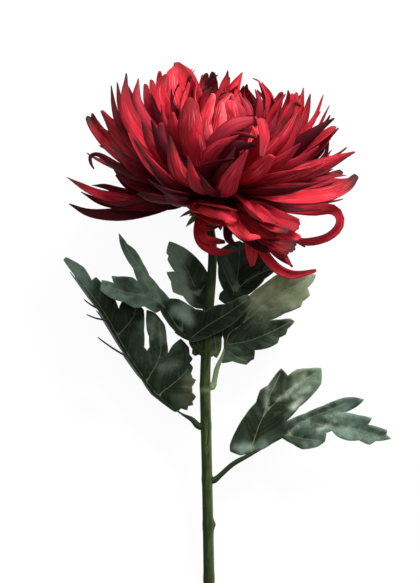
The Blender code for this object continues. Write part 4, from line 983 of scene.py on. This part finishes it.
        5.5, 55, "round bright", (16, 0, 14), (23, -14, 24), (32.5, -30, 25), (43, -36.2, 22),
        (56.4, -34.3, 19),
    ),
    (6.5, 30, "point plain", (2, 0, 20), (-4, -8, 27), (-3.5, -18, 30), (4, -24.5, 32), (14, -24.5, 33)),
    (5, 0, "round edged", (4, 0, 22), (-2, -7, 32), (-2.5, -13, 37), (2, -13.5, 38), (6, -11.5, 38)),
    (5, 0, "round edged", (4, 0, 20), (-3, -10, 28), (-2, -18, 32), (3, -19.5, 33), (9, -20, 33)),
    (6, 30, "point dark", (8, 0, 20), (11, -10, 28), (11, -18, 30), (16, -22.5, 31)),
    (9, 42, "round lively", (16, 2, 28), (22, -3, 46), (29, -8, 57), (35, -11, 61)),
    (9, 40, "round plain", (14, 0, 23), (21, -9, 38), (28, -16, 47), (34, -21, 48)),
    (9, 40, "square lively", (15, -2, 19), (25, -16, 31), (33, -23, 36), (41, -27.5, 36)),
    (8, 40, "round dark", (12, -2, 22), (17, -12, 32), (25, -20, 38), (31, -25, 39)),
    (6, 40, "point plain", (18, 1, 17), (30, -16, 28), (37, -24, 32), (43.5, -33, 31)),
    (8, 30, "round lively", (-2, 0, 26), (-4, -4, 38), (2, -8, 46), (10, -11.5, 48)),
    (8, 30, "round dark", (8, -2, 24), (13, -10, 36), (18, -16, 42), (24, -21, 43)),
    (7, 0, "round dark", (7, 0, 22), (11, -8, 34), (11, -13, 40), (18, -18, 42)),
]

# Long rim petals on the under side, which the flower lies on: they spread along the surface.
RESTING_AZIMUTHS = (216, 229, 241, 253, 264, 276, 287, 299, 311, 324)
RESTING_LENGTH = 76.0
RESTING_WIDTH = 9.5
RESTING_ROOT_ANGLE = 122
RESTING_START_ANGLE = 106
RESTING_BEND = 22

# The rest follow the spiral in which the florets of a head stand, from its rim to its middle.
GOLDEN_ANGLE = 137.508
# Each pair is a value at the rim and at the middle of the head, angles being from the bloom's axis.
ROOT_ANGLES = (136, 8)
START_ANGLES = (110, 26)
BENDS = (34, 118)
FILL_WIDTHS = (9.5, 8.5)
RIM_LENGTH = 70
HALFWAY_LENGTH = 58
MIDDLE_LENGTH = 31
MOST_TURN = 45
# How freely they grow: the most by which azimuth, start and sway change, the ranges of bend, length
# and width, how far they go of the bloom's reach, and their kinds of tip.
FILL_PETALS = 74
FILL_FREEDOM = (
    9, 6, 14, (0.8, 1.15), (0.93, 1.05), (0.8, 1.15), 0.95, ("point", "point", "round", "notch"),
)
FILL_SHARE = 0.9
MORE_PETALS = 76
MORE_FREEDOM = (
    12, 9, 16, (0.7, 1.1), (0.82, 0.98), (0.55, 0.95), 0.80, ("point", "round", "point", "point"),
)
# The broad petals of the closed middle, with pairs for its outside and its inside
BALL_PETALS = 26
BALL_ROOT_ANGLES = (64, 6)
BALL_START_ANGLES = (44, 10)
BALL_BENDS = (96, 150)
BALL_LENGTHS = (33, 20)
BALL_WIDTHS = (12.5, 9.0)

# How far the bloom reaches from OUTLINE_MIDDLE, seen from above: (degrees from right, reach).
OUTLINE_MIDDLE = Vector((0.0, 20.0))
OUTLINE_REACH = [
    (-180, 70), (-156, 62), (-147, 44), (-137, 33), (-99, 32), (-75, 46), (-44, 72), (-20, 70),
    (-4, 76), (12, 74), (32, 68), (60, 46), (90, 50), (107, 55), (134, 62), (160, 62), (180, 70),
]
FLOOR_CLEARANCE = 0.45
FLOOR_NEAR = 5.0
FLOOR_FAR = 13.0
FRONT_DEPTH = 30.0
PATH_STEPS = 24
PLACED_POINTS = 49
BEND_POWER = 1.5

# One petal's form. For each kind of tip: the share of the width left at its end and how late the
# taper comes.
TIPS = {
    "point": (0.10, 1.5), "round": (0.42, 2.6), "notch": (0.72, 3.0), "square": (0.85, 4.0),
    "hood": (0.30, 3.6),
}
TIP_START = 0.84
ROOT_SHARE = 0.42
WIDEST_AT = 0.62
ACROSS = 8
ROWS = 20
CURLED_ROWS = 36
MANY_TURNS = 130
PETAL_HALF = 0.30
PETAL_CUP = 0.34
CHANNEL_POWER = 1.6
RIDGE_HEIGHT = 0.10
RUFFLE = 0.35
MOST_TWIST = 28.0
MOST_LEAN = 0.35
WAVE_LENGTHS = (14, 22)
LENGTH_UNIT = 80
# For each shade: how dark, partly the petal's own maroon and partly painted shade; how dusty, partly
# the outer face's own rose and partly painted sheen; how bright, a painted highlight that turns to
# coral painted light past 1; and how dark the tip and edges are.
SHADES = {
    "plain": (0.0, 0.20, 0.20, 0.35),
    "bright": (0.0, 0.05, 1.2, 0.15),
    "dark": (0.85, 0.30, 0.0, 1.0),
    "tip": (0.10, 0.20, 0.30, 1.0),
    "dusty": (0.20, 1.0, 0.10, 0.45),
    "pink": (0.0, 0.55, 0.55, 0.30),
    "edged": (0.0, 0.10, 0.90, 1.0),
    "lively": (0.0, 0.05, 0.60, 0.55),
    "coral": (0.0, 0.0, 3.2, 0.05),
    "mauve": (0.45, 1.0, 0.0, 0.40),
    "black": (1.0, 0.0, 0.0, 1.0),
}
FILL_SHADES = ("plain", "plain", "bright", "tip", "dusty", "plain", "pink", "tip", "plain", "dark")
CORE_RINGS = 20
CORE_SIDES = 32
CORE_SHARE = 0.93


def core_point(direction):
    """A petal's root: a little under the core's surface, in a direction from the core's middle."""
    lengthwise = direction.dot(BLOOM_AXIS)
    across = (1 - min(1.0, lengthwise ** 2)) ** 0.5
    reach = 1 / hypot(lengthwise / CORE_HALF_LENGTH, across / CORE_RADIUS)
    return CORE_MIDDLE + direction * (reach - ROOT_DEPTH)


def outline_reach(away):
    """How far the bloom reaches in a flat direction from OUTLINE_MIDDLE."""
    angle = degrees(acos(max(-1.0, min(1.0, away.x / away.length))))
    angle = angle if away.y >= 0 else -angle
    for (first, near), (second, far) in zip(OUTLINE_REACH, OUTLINE_REACH[1:]):
        if angle <= second:
            break
    return mix(near, far, (angle - first) / (second - first))


def bent_path(root_angle, azimuth, start, bend, sway, length):
    """A path that leaves the core at the angle start from the bloom's axis and bends towards it."""
    path = [core_point(bloom_direction(root_angle, azimuth))]
    for step in range(PATH_STEPS):
        s = (step + 0.5) / PATH_STEPS
        heading = bloom_direction(start - bend * s ** BEND_POWER, azimuth + sway * s)
        path.append(path[-1] + heading * length / PATH_STEPS)
    return path


# Each kind of petal is given as (middle line, width, turn, kind of tip).

def placed_petal(knots, width, turn, tip):
    points = vectors(knots)
    root = core_point((points[0] - CORE_MIDDLE).normalized())
    return even_path([root] + points, PLACED_POINTS), width, turn, tip


def resting_petal(azimuth, length):
    path = bent_path(RESTING_ROOT_ANGLE, azimuth, RESTING_START_ANGLE, RESTING_BEND, 0, length)
    return path, RESTING_WIDTH, 0, "round"


def spiral_petal(share, place, freedom, draw):
    """A petal of the spiral, at a share of the way from the rim to the middle of the head."""
    around, start_change, sway, bends, lengths, widths, furthest, tips = freedom
    azimuth = place * GOLDEN_ANGLE + draw.uniform(-around, around)
    root_angle = mix(*ROOT_ANGLES, share ** 0.8)
    start = mix(*START_ANGLES, share ** 0.85) + draw.uniform(-start_change, start_change)
    bend = mix(*BENDS, share ** 1.25) * draw.uniform(*bends)
    length = mix(RIM_LENGTH, HALFWAY_LENGTH, min(1, share * 2))
    length = mix(length, MIDDLE_LENGTH, ramp(0.45, 1, share)) * draw.uniform(*lengths)
    path = bent_path(root_angle, azimuth, start, bend, draw.uniform(-sway, sway), length)
    longest = 1.0
    for point in path[PATH_STEPS // 3:]:
        away = point.xy - OUTLINE_MIDDLE
        longest = min(longest, outline_reach(away) * furthest / away.length)
    path = [path[0] + (point - path[0]) * longest for point in path]
    width = mix(*FILL_WIDTHS, share) * draw.uniform(*widths)
    tip = draw.choice(tips)
    return path, width, draw.uniform(-MOST_TURN, MOST_TURN), tip


def ball_petal(index, draw):
    """A broad petal of the closed middle, which bends in over the ones inside it."""
    share = index / (BALL_PETALS - 1)
    azimuth = index * GOLDEN_ANGLE + draw.uniform(-8, 8)
    root_angle = mix(*BALL_ROOT_ANGLES, share)
    start = mix(*BALL_START_ANGLES, share) + draw.uniform(-4, 4)
    bend = mix(*BALL_BENDS, share) * draw.uniform(0.92, 1.06)
    length = mix(*BALL_LENGTHS, share) * draw.uniform(0.95, 1.05)
    path = bent_path(root_angle, azimuth, start, bend, draw.uniform(-10, 10), length)
    return path, mix(*BALL_WIDTHS, share), 0, draw.choice(("point", "round"))


def in_front(path):
    """Whether a petal of the spiral passes before the head, where the listed petals are."""
    return path[int(len(path) * 0.7)].z > FRONT_DEPTH


def settle(path):
    """Lays the part of a path that would reach below the surface along it, at its own length."""
    result = [path[0]]
    for first, second in zip(path, path[1:]):
        step = second - first
        here = result[-1]
        drop = step.dot(LEAN_UP)
        room = FLOOR_CLEARANCE - height_of(here)
        if drop < room:
            level = step - LEAN_UP * drop
            if level.length < 0.2 * step.length:
                level = here - CORE_MIDDLE
                level -= LEAN_UP * level.dot(LEAN_UP)
            flat_length = max(0.0, step.length_squared - room ** 2) ** 0.5
            step = level.normalized() * flat_length + LEAN_UP * room
        result.append(here + step)
    return result


def width_share(s, tip):
    """A petal's width at a share s of its length, as a share of its greatest width."""
    rise = mix(ROOT_SHARE, 1.0, ramp(0.0, WIDEST_AT, s))
    beyond = max(0.0, (s - WIDEST_AT) / (1 - WIDEST_AT))
    end, power = TIPS[tip]
    return rise * mix(1.0, end, beyond ** power)


def path_turn(path):
    """The angle in degrees through which a path turns."""
    steps = [second - first for first, second in zip(path, path[1:])]
    steps = [step for step in steps if step.length > 1e-6]
    return sum(degrees(first.angle(second)) for first, second in zip(steps, steps[1:]))


def tip_setback(kind, t, half):
    """How far back from the petal's end its edge lies, at the share t of its half width."""
    if kind == "round":
        return half * (1 - max(0.0, 1 - t * t) ** 0.5) * 0.9
    if kind == "hood":
        return half * 0.55 * abs(t) ** 2.5
    if kind == "notch":
        return half * (0.6 * max(0.0, 1 - abs(t) * 2.4) + 0.5 * ramp(0.5, 1.0, abs(t)))
    if kind == "square":
        return half * (0.35 * ramp(0.55, 1.0, abs(t)) + 0.18 * max(0.0, sin(9 * t)))
    return half * 0.5 * t * t


def fine_petal(path, width, turn, tip, shade, draw):
    """Points, faces and marks of one petal: a thin channel, closed all round its edge."""
    path = settle(path)
    last = len(path) - 1
    length = sum(step_lengths(path))
    side = BLOOM_AXIS.cross((path[0] - CORE_MIDDLE).normalized())
    if side.length < 0.2:
        side = BLOOM_RIGHT
    headings = tangents(path)
    sides = []
    for tangent in headings:
        side = (side - tangent * side.dot(tangent)).normalized()
        sides.append(side)
    phase = draw.uniform(0, 2 * pi)
    waves = length / draw.uniform(*WAVE_LENGTHS)
    ruffle = RUFFLE * draw.uniform(0.3, 1.3)
    twist = draw.uniform(-MOST_TWIST, MOST_TWIST)
    rows = CURLED_ROWS if path_turn(path) > MANY_TURNS and last > PATH_STEPS else ROWS
    lean = draw.uniform(-MOST_LEAN, MOST_LEAN)
    channel = PETAL_CUP * draw.uniform(0.8, 1.7)
    mark = draw.random()
    dark, dusty, bright, edge_dark = SHADES[shade]
    dark = min(1.0, dark + draw.uniform(0, 0.12))
    grid = []
    for row in range(rows + 1):
        s = 1 - (1 - row / rows) ** 1.25
        index = min(int(s * last), last - 1)
        lines = (path, headings, sides)
        middles = [line[index].lerp(line[index + 1], s * last - index) for line in lines]
        centre, tangent, side = middles[0], middles[1].normalized(), middles[2].normalized()
        # The inner face turns to show itself to the upper side.
        angle = radians(-tanh(8 * side.z) * turn * ramp(0.0, 0.55, s) + twist * s * s)
        across = Matrix.Rotation(angle, 3, tangent) @ side
        near_floor = 1 - ramp(FLOOR_NEAR, FLOOR_FAR, height_of(centre))
        across = (across - LEAN_UP * across.dot(LEAN_UP) * near_floor).normalized()
        inner = tangent.cross(across).normalized()
        half = width_share(s, tip) * width / 2
        cup = channel * half * (1 - 0.8 * near_floor)
        swell = PETAL_HALF * mix(1.3, 0.7, s) if 0 < row < rows else 0.0
        line = []
        for column in range(ACROSS + 1):
            t = 2 * column / ACROSS - 1
            rise = cup * abs(t) ** CHANNEL_POWER * (1 + lean * t)
            rise += RIDGE_HEIGHT * cos(2.5 * pi * t) * (1 - t * t)
            rise += ruffle * sin(2 * pi * waves * s + phase + (2.1 if t > 0 else 0)) * abs(t) ** 3 * s
            back = tip_setback(tip, t, half) * ramp(TIP_START, 1.0, s)
            middle = centre + across * half * t + inner * rise - tangent * back
            thick = swell * (1 - t * t) ** 0.5
            middle -= LEAN_UP * min(0.0, height_of(middle) - thick)
            line.append((middle, inner * thick, s, t))
        grid.append(line)
    return *thin_blade(grid), (dark, dusty, bright), (edge_dark, mark, length / LENGTH_UNIT)


def core_shell():
    """The egg under the petals, a little smaller than the solid one."""
    centres = []
    radii = []
    for ring in range(CORE_RINGS + 1):
        angle = pi * (ring + 0.02) / (CORE_RINGS + 0.04)
        centres.append(CORE_MIDDLE - BLOOM_AXIS * cos(angle) * CORE_HALF_LENGTH * CORE_SHARE)
        radii.append(max(0.05, sin(angle) * CORE_RADIUS * CORE_SHARE))
    return tube(centres, radii, CORE_SIDES)


def make_bloom():
    """The skirt, which is the lower half of the petals, and the crown, with the egg in it."""
    draw = random.Random(SEED)
    spiral = []
    for index in range(FILL_PETALS):
        spiral.append(spiral_petal(index / (FILL_PETALS - 1), index, FILL_FREEDOM, draw))
    draw = random.Random(SEED + 1)
    specs = []
    for width, turn, manner, *knots in PLACED_PETALS:
        tip, shade = manner.split()
        specs.append((*placed_petal(knots, width, turn, tip), shade))
    for index, azimuth in enumerate(RESTING_AZIMUTHS):
        length = RESTING_LENGTH * (1.0 if index % 2 else 0.9)
        specs.append((*resting_petal(azimuth, length), "dark"))
    for index, (path, width, turn, tip) in enumerate(spiral):
        shade = draw.choice(FILL_SHADES)
        # The innermost petals of the spiral take the bright shade, a painted highlight.
        if index > 0.8 * FILL_PETALS:
            shade = "bright"
        if tip == "notch" and index % 3:
            tip = "point"
        if not in_front(path):
            specs.append((path, width * FILL_SHARE, turn, tip, shade))
    for index in range(MORE_PETALS):
        shade = draw.choice(FILL_SHADES)
        share = mix(0.16, 0.9, (index + 0.5) / MORE_PETALS)
        petal = spiral_petal(share, index + 0.5, MORE_FREEDOM, draw)
        if not in_front(petal[0]):
            specs.append((*petal, shade))
    # The petals of the closed middle take the coral shade: painted light shining through them.
    specs += [(*ball_petal(index, draw), "coral") for index in range(BALL_PETALS)]
    specs.sort(key=lambda spec: spec[0][len(spec[0]) // 2].y)
    half = len(specs) // 2
    look = petal_look()
    for name, part in (("bloom_skirt", specs[:half]), ("bloom_crown", specs[half:])):
        shell = Shell("petal_place", "petal_kind", "petal_more")
        for spec in part:
            shell.add(*fine_petal(*spec, draw))
        if name == "bloom_crown":
            shell.add(*core_shell(), (0.3, 0.0, 0.0), (0.5, 0.2, 0.0), (0.0, 0.5, 0.5))
        shell.make(name, look, ["bloom"])


# Calyx: the green cup under the head and the two rows of narrow scales on it. The cup's profile is
# (radius, place along the bloom's axis).

CUP_PROFILE = [(2.9, -7.2), (4.4, -6.2), (7.0, -4.2), (8.5, -1.7), (7.6, -1.3)]
CUP_SIDES = 48
CUP_STEPS = 4
SCALE_COUNT = 26
SCALE_LENGTH = 12.0
SCALE_WIDTH = 5.0
SCALE_ROWS = 12
SCALE_COLUMNS = 6
SCALE_HALF = 0.28
SCALE_SEAT = (5.5, -2.6)
LOWER_DROP = 1.2
LONG_SCALE = 10


def scale_blade(azimuth, droop, length, drop):
    """One pointed scale, thin and keeled, which bends outward and down from the cup's side."""
    outward = bloom_outward(azimuth)
    across = BLOOM_AXIS.cross(outward)
    seat_radius, seat_axial = SCALE_SEAT
    grid = []
    for row in range(SCALE_ROWS + 1):
        s = row / SCALE_ROWS
        axial = seat_axial - drop - length * droop * s * s
        middle = RECEPTACLE + BLOOM_AXIS * axial + outward * (seat_radius + length * s)
        half = SCALE_WIDTH / 2 * (0.8 + 0.9 * s) * max(0.02, 1 - s ** 2.2)
        line = []
        for column in range(SCALE_COLUMNS + 1):
            t = 2 * column / SCALE_COLUMNS - 1
            base = middle + across * half * t - BLOOM_AXIS * 0.25 * half * t * t
            thick = SCALE_HALF * (1 - t * t) ** 0.5 if 0 < row < SCALE_ROWS else 0.0
            line.append((base, BLOOM_AXIS * thick, s, t))
        grid.append(line)
    return thin_blade(grid)


def make_calyx():
    profile = []
    for (radius, axial), (next_radius, next_axial) in zip(CUP_PROFILE, CUP_PROFILE[1:]):
        for step in range(CUP_STEPS):
            share = step / CUP_STEPS
            profile.append((mix(radius, next_radius, share), mix(axial, next_axial, share)))
    profile.append(CUP_PROFILE[-1])
    centres = [RECEPTACLE + BLOOM_AXIS * axial for radius, axial in profile]
    shell = Shell("scale_marks")
    shell.add(*tube(centres, [radius for radius, axial in profile], CUP_SIDES), (0.0, 0.0, 0.0))
    for index in range(SCALE_COUNT):
        lower = index % 2
        droop = 0.30 if index // 2 % 2 else 0.55
        if index == LONG_SCALE:
            droop = 0.70
        length = SCALE_LENGTH * (0.72 if lower else 1.0)
        shell.add(*scale_blade(360 * index / SCALE_COUNT, droop, length, LOWER_DROP * lower))
    shell.make("calyx_fine", scale_look(), ["calyx"])


# Materials

class Value:
    """A number that a look's nodes work out. Sums and products with it are values again."""

    def __init__(self, look, socket):
        self.look = look
        self.socket = socket

    def math(self, operation, *others):
        inputs = dict(enumerate((self, *others)))
        return self.look.node("Math", 0, inputs, operation=operation)

    def __mul__(self, other):
        return self.math("MULTIPLY", other)

    def __add__(self, other):
        return self.math("ADD", other)

    def line(self, slope, start):
        """This value times a slope, plus a start."""
        return self.math("MULTIPLY_ADD", slope, start)

    def band(self, low, high):
        """0 below low, 1 above high and smooth between; low may be the greater."""
        inputs = {"Value": self, "From Min": low, "From Max": high}
        return self.look.node("MapRange", 0, inputs, interpolation_type="SMOOTHSTEP")


class Look:
    """A material whose colour, gloss and relief are worked out by nodes."""

    def __init__(self, name, colour=None, **settings):
        self.material = bpy.data.materials.new(name)
        self.material.use_nodes = True
        self.tree = self.material.node_tree
        self.shader = self.tree.nodes["Principled BSDF"]
        self.colour = colour
        for socket, value in settings.items():
            self.shader.inputs[socket.replace("_", " ")].default_value = value

    def feed(self, socket, value):
        """Links a value to a socket, or sets a plain number or colour on it."""
        if isinstance(value, Value):
            self.tree.links.new(value.socket, socket)
        else:
            socket.default_value = value

    def node(self, kind, output, inputs, **settings):
        """One output of a new node, whose inputs are values, plain numbers or colours."""
        made = self.tree.nodes.new("ShaderNode" + kind)
        for setting, value in settings.items():
            setattr(made, setting, value)
        for socket, value in inputs.items():
            self.feed(made.inputs[socket], value)
        return Value(self, made.outputs[output])

    def mark(self, name):
        """The three numbers of a mark that the mesh carries."""
        held = self.node("Attribute", "Vector", {}, attribute_name=name)
        return [self.node("SeparateXYZ", axis, {0: held}) for axis in "XYZ"]

    def blend(self, share, first, second):
        return self.node("Mix", 2, {0: share, 6: first, 7: second}, data_type="RGBA")

    def paint(self, share, colour):
        """Lays a colour over what is there, by a share from 0 to 1."""
        self.colour = self.blend(share, self.colour, colour)

    def noise(self, vector, scale, detail=3.0):
        return self.node("TexNoise", 0, {"Vector": vector, "Scale": scale, "Detail": detail})

    def joined(self, *numbers):
        return self.node("CombineXYZ", 0, dict(enumerate(numbers)))

    def grain(self, across, along_v=None, detail=3.0):
        """Noise at the object's own coordinates, in metres, times a scale across and along."""
        here = self.node("TexCoord", "Object", {})
        scale = (across, along_v or across, across)
        return self.noise(self.node("Mapping", 0, {"Vector": here, "Scale": scale}), 1.0, detail)

    def finish(self, relief, strength, distance, roughness=None):
        """Hands the colour, the relief and, where it varies, the roughness to the shader."""
        inputs = {"Height": relief, "Strength": strength, "Distance": distance}
        self.feed(self.shader.inputs["Normal"], self.node("Bump", 0, inputs))
        self.feed(self.shader.inputs["Base Color"], self.colour)
        if roughness:
            self.feed(self.shader.inputs["Roughness"], roughness)
        return self


CRIMSON = (0.44, 0.010, 0.024, 1)
DEEP_CRIMSON = (0.16, 0.003, 0.010, 1)
HIGHLIGHT_RED = (0.68, 0.026, 0.042, 1)
PAINTED_LIGHT_CORAL = (1.0, 0.13, 0.155, 1)
SATIN_HIGHLIGHT = (0.95, 0.24, 0.27, 1)
DUSTY_ROSE_AND_SHEEN = (0.35, 0.040, 0.068, 1)
MAROON_AND_SHADE = (0.035, 0.003, 0.006, 1)
PAINTED_ROOT_SHADE = (0.13, 0.002, 0.006, 1)
TIP_BROWN = (0.045, 0.018, 0.016, 1)
LEAF_DARK = (0.012, 0.019, 0.0095, 1)
LEAF_TEAL = (0.158, 0.236, 0.183, 1)
LEAF_OLIVE = (0.235, 0.253, 0.132, 1)
LEAF_PALE = (0.30, 0.36, 0.22, 1)
LEAF_BACK = (0.024, 0.038, 0.025, 1)
LEAF_SHEEN = (0.40, 0.46, 0.36, 1)
STALK_GREEN = (0.022, 0.036, 0.014, 1)
STALK_LIGHT = (0.20, 0.25, 0.12, 1)
STEM_OLIVE = (0.064, 0.083, 0.024, 1)
STEM_DARK = (0.017, 0.028, 0.010, 1)
STEM_PALE = (0.22, 0.24, 0.12, 1)
SCALE_GREEN = (0.050, 0.085, 0.035, 1)
SCALE_PALE = (0.14, 0.18, 0.08, 1)
SCALE_TIP = (0.075, 0.035, 0.020, 1)
FLOOR_GREY = (0.05, 0.05, 0.05, 1)
WHITE = (1, 1, 1, 1)


def petal_look():
    """Streaks and blotches along the petal, dark tips and edges, painted shade at the root and on dark
    petals, painted sheen, and a painted highlight that is brightest on the inner face.
    """
    look = Look(
        "petal_cloth", DEEP_CRIMSON, Roughness=0.5, Subsurface_Weight=0.08, Subsurface_Scale=0.0015,
        Subsurface_Radius=(1.0, 0.1, 0.1), Specular_IOR_Level=0.07,
    )
    s, t, side = look.mark("petal_place")
    dark, dusty, bright = look.mark("petal_kind")
    edge_dark, mark, length = look.mark("petal_more")
    shift = mark * 40.0
    spread = t.line(2.2, shift)
    run = s * length * 4.0
    streak = look.noise(look.joined(spread, run, shift), 1.6)
    blotch = look.noise(look.joined(t * 0.8, run, shift), 1.1)
    look.paint(streak.band(0.32, 0.66), CRIMSON)
    # Painted highlight: brighter red in blotches where a petal catches the light, most on its inner face.
    painted_highlight = bright * blotch.band(0.30, 0.62) * side.line(0.5, 0.5) * s.band(0.15, 0.5)
    look.paint(painted_highlight.math("MINIMUM", 1.0), HIGHLIGHT_RED)
    # Painted light: coral where the painted highlight is strongest, as if light shone through the petals.
    look.paint(painted_highlight.band(1.0, 2.0), PAINTED_LIGHT_CORAL)
    # Painted satin highlight: fine pale streaks along the petal, more on bright petals.
    line = look.noise(look.joined(spread * 3.0, run, shift), 1.5)
    line = line.band(0.56, 0.70) * bright.line(0.35, 0.12)
    look.paint(line.math("MINIMUM", 0.7), SATIN_HIGHLIGHT)
    # Dusty rose, most on the outer face: partly that face's own duller colour, partly painted sheen.
    look.paint(dusty * side.line(-0.5, 0.62), DUSTY_ROSE_AND_SHEEN)
    # Painted shade near the root, where the petals crowd into the head.
    look.paint(s.band(0.42, 0.08) * 0.8, PAINTED_ROOT_SHADE)
    tip = streak.line(0.22, s).band(0.86, 1.12)
    edge = blotch.line(0.5, t.math("ABSOLUTE")).band(0.95, 1.35) * s.band(0.25, 0.75)
    look.paint(tip.math("MAXIMUM", edge * 0.75) * edge_dark, TIP_BROWN)
    # Maroon by the petal's darkness: partly its own colour, partly painted shade on the dark and black
    # petals set in the head's shaded gaps and hollows.
    look.paint((dark * streak.line(0.5, 0.65)).math("MINIMUM", 0.97), MAROON_AND_SHADE)
    fine = look.noise(look.joined(spread * 4.0, run, shift), 2.4)
    return look.finish(fine, 0.35, 0.0003, fine.line(0.3, 0.42))


def leaf_look():
    """Teal to olive by the leaf's tones, with painted light and shade, painted shade in its creases and on
    its underside, pale ribs and painted sheen.
    """
    look = Look("leaf_cloth", LEAF_DARK, Roughness=0.42, Specular_IOR_Level=0.03)
    rib_gap, vein_gap, edge_gap = look.mark("leaf_lines")
    side, stalk, _ = look.mark("leaf_kind")
    light, olive, sheen = look.mark("leaf_tone")
    cloud = look.grain(75.0, detail=5.0)
    mottle = look.grain(330.0)
    weave = look.grain(1500.0, detail=2.0)
    # Painted light and shade: the leaf's tones, darker in the creases by its veins, with its own mottle.
    tone = vein_gap.band(0.3, 2.6).line(0.16, light)
    tone += cloud.line(1.0, -0.50) * (light + 0.25)
    tone += (mottle + weave).line(0.45, -0.45) * (light + 0.15)
    look.paint(tone.band(0.0, 1.1), look.blend(olive, LEAF_TEAL, LEAF_OLIVE))
    # Painted sheen along the streaks, where folds catch the light.
    look.paint((sheen * weave.line(0.9, 0.45)).math("MINIMUM", 1.0), LEAF_SHEEN)
    # The underside: its green, darkened as painted shade.
    look.paint(side.line(-1.0, 1.0) * 0.8, LEAF_BACK)
    rib = rib_gap.band(0.34, 0.10) * 0.32
    vein = vein_gap.band(0.24, 0.05) * 0.06
    edge = edge_gap.band(0.40, 0.08) * 0.20
    look.paint(rib.math("MAXIMUM", vein).math("MAXIMUM", edge), LEAF_PALE)
    # Stalks go from green to lighter by their painted light.
    look.paint(stalk, look.blend(light, STALK_GREEN, STALK_LIGHT))
    return look.finish(mottle.line(1.5, weave), 0.30, 0.0002, mottle.line(0.35, 0.33))


def stem_look():
    """Olive with dark streaks, darker at its nodes and low down, with painted shade on its left side and
    painted light on its right.
    """
    look = Look("stem_rind", STEM_DARK, Roughness=0.45, Specular_IOR_Level=0.05)
    ring, node, share = look.mark("stem_marks")
    right, _, low = look.mark("stem_sides")
    streak = look.grain(700.0, 25.0)
    patch = look.grain(150.0, 45.0)
    look.paint(streak.band(0.30, 0.65), STEM_OLIVE)
    look.paint(patch.band(0.62, 0.40) * 0.5, STEM_DARK)
    # Painted shade on the stem's left side.
    look.paint(streak.line(0.5, right).band(0.25, -0.35) * 0.8, STEM_DARK)
    look.paint(low * 0.45, STEM_DARK)
    # Painted light on the stem's right side.
    look.paint(right.band(0.35, 0.95) * 0.22, STEM_PALE)
    look.paint(node * 0.25, STEM_DARK)
    look.paint(ring * 0.55, STEM_PALE)
    look.paint(share.band(0.9, 1.0) * 0.5, STEM_DARK)
    return look.finish(streak, 0.4, 0.0003, streak.line(0.25, 0.33))


def scale_look():
    look = Look("bract_green", SCALE_GREEN, Roughness=0.5)
    s, t, _ = look.mark("scale_marks")
    mottle = look.grain(400.0)
    look.paint(mottle.band(0.35, 0.65), SCALE_PALE)
    look.paint(t.math("ABSOLUTE").band(0.5, 1.0), SCALE_PALE)
    look.paint(s.band(0.75, 1.0) * 0.8, SCALE_TIP)
    return look.finish(mottle, 0.3, 0.0002)


# Camera, light and floor

VIEW_MIDDLE = Vector((1.05, -45.4, 0))
VIEW_DISTANCE = 2.0
VIEW_HEIGHT = 0.306
SENSOR = 36.0
CLIP_START = 0.01
LIT_MIDDLE = Vector((0, -20, 0))
# Each lamp: its name, direction from the flower, distance, size and power.
LAMPS = [
    ("key", (0.50, 1.0, 0.75), 1.4, 0.5, 33.0),
    ("fill", (0.1, 0.35, 1.0), 1.6, 1.0, 10.0),
]
WORLD_LIGHT = 0.22
FLOOR_HALF = 3.0
FLOOR_GLOW = 0.95


def flower_direction(u, v, w):
    """A direction of the flower's frame in the frame of the surface."""
    return Vector((u, v * cos(TILT) - w * sin(TILT), v * sin(TILT) + w * cos(TILT))).normalized()


def place_holder(name, data, direction, distance, towards, top):
    """Puts a camera or lamp at a distance from a point and turns it to look there."""
    holder = bpy.data.objects.new(name, data)
    bpy.context.scene.collection.objects.link(holder)
    middle = to_world(towards)
    place = middle + flower_direction(*direction) * distance
    back = (place - middle).normalized()
    right = top.cross(back).normalized()
    turned = Matrix((right, back.cross(right), back)).transposed().to_4x4()
    holder.matrix_world = Matrix.Translation(place) @ turned
    return holder


def place_camera():
    lens = bpy.data.cameras.new("camera")
    lens.sensor_width = SENSOR
    lens.lens = SENSOR * VIEW_DISTANCE / VIEW_HEIGHT
    lens.clip_start = CLIP_START
    top = flower_direction(0, 1, 0)
    camera = place_holder("camera", lens, (0, 0, 1), VIEW_DISTANCE, VIEW_MIDDLE, top)
    bpy.context.scene.camera = camera


def place_lights():
    for name, direction, distance, size, power in LAMPS:
        lamp = bpy.data.lights.new(name, "AREA")
        lamp.size = size
        lamp.energy = power
        place_holder(name, lamp, direction, distance, LIT_MIDDLE, up(1))
    world = bpy.data.worlds.new("studio")
    world.use_nodes = True
    bpy.context.scene.world = world
    background = world.node_tree.nodes["Background"]
    background.inputs["Color"].default_value = WHITE
    background.inputs["Strength"].default_value = WORLD_LIGHT
    bpy.context.scene.view_settings.view_transform = "Standard"


def place_floor():
    mesh = bpy.data.meshes.new("floor")
    corners = [(x * FLOOR_HALF, y * FLOOR_HALF, 0) for x, y in ((-1, -1), (1, -1), (1, 1), (-1, 1))]
    mesh.from_pydata(corners, [], [(0, 1, 2, 3)])
    look = Look(
        "pale_floor", Roughness=0.9, Base_Color=FLOOR_GREY, Emission_Color=WHITE,
        Emission_Strength=FLOOR_GLOW, Specular_IOR_Level=0.0,
    )
    mesh.materials.append(look.material)
    floor = bpy.data.objects.new("floor", mesh)
    bpy.context.scene.collection.objects.link(floor)


def main():
    cloth = leaf_look()
    place_camera()
    place_floor()
    place_lights()
    make_stem()
    make_calyx()
    for name, leaf in LEAVES.items():
        make_leaf(name, leaf, cloth)
    make_bloom()


main()
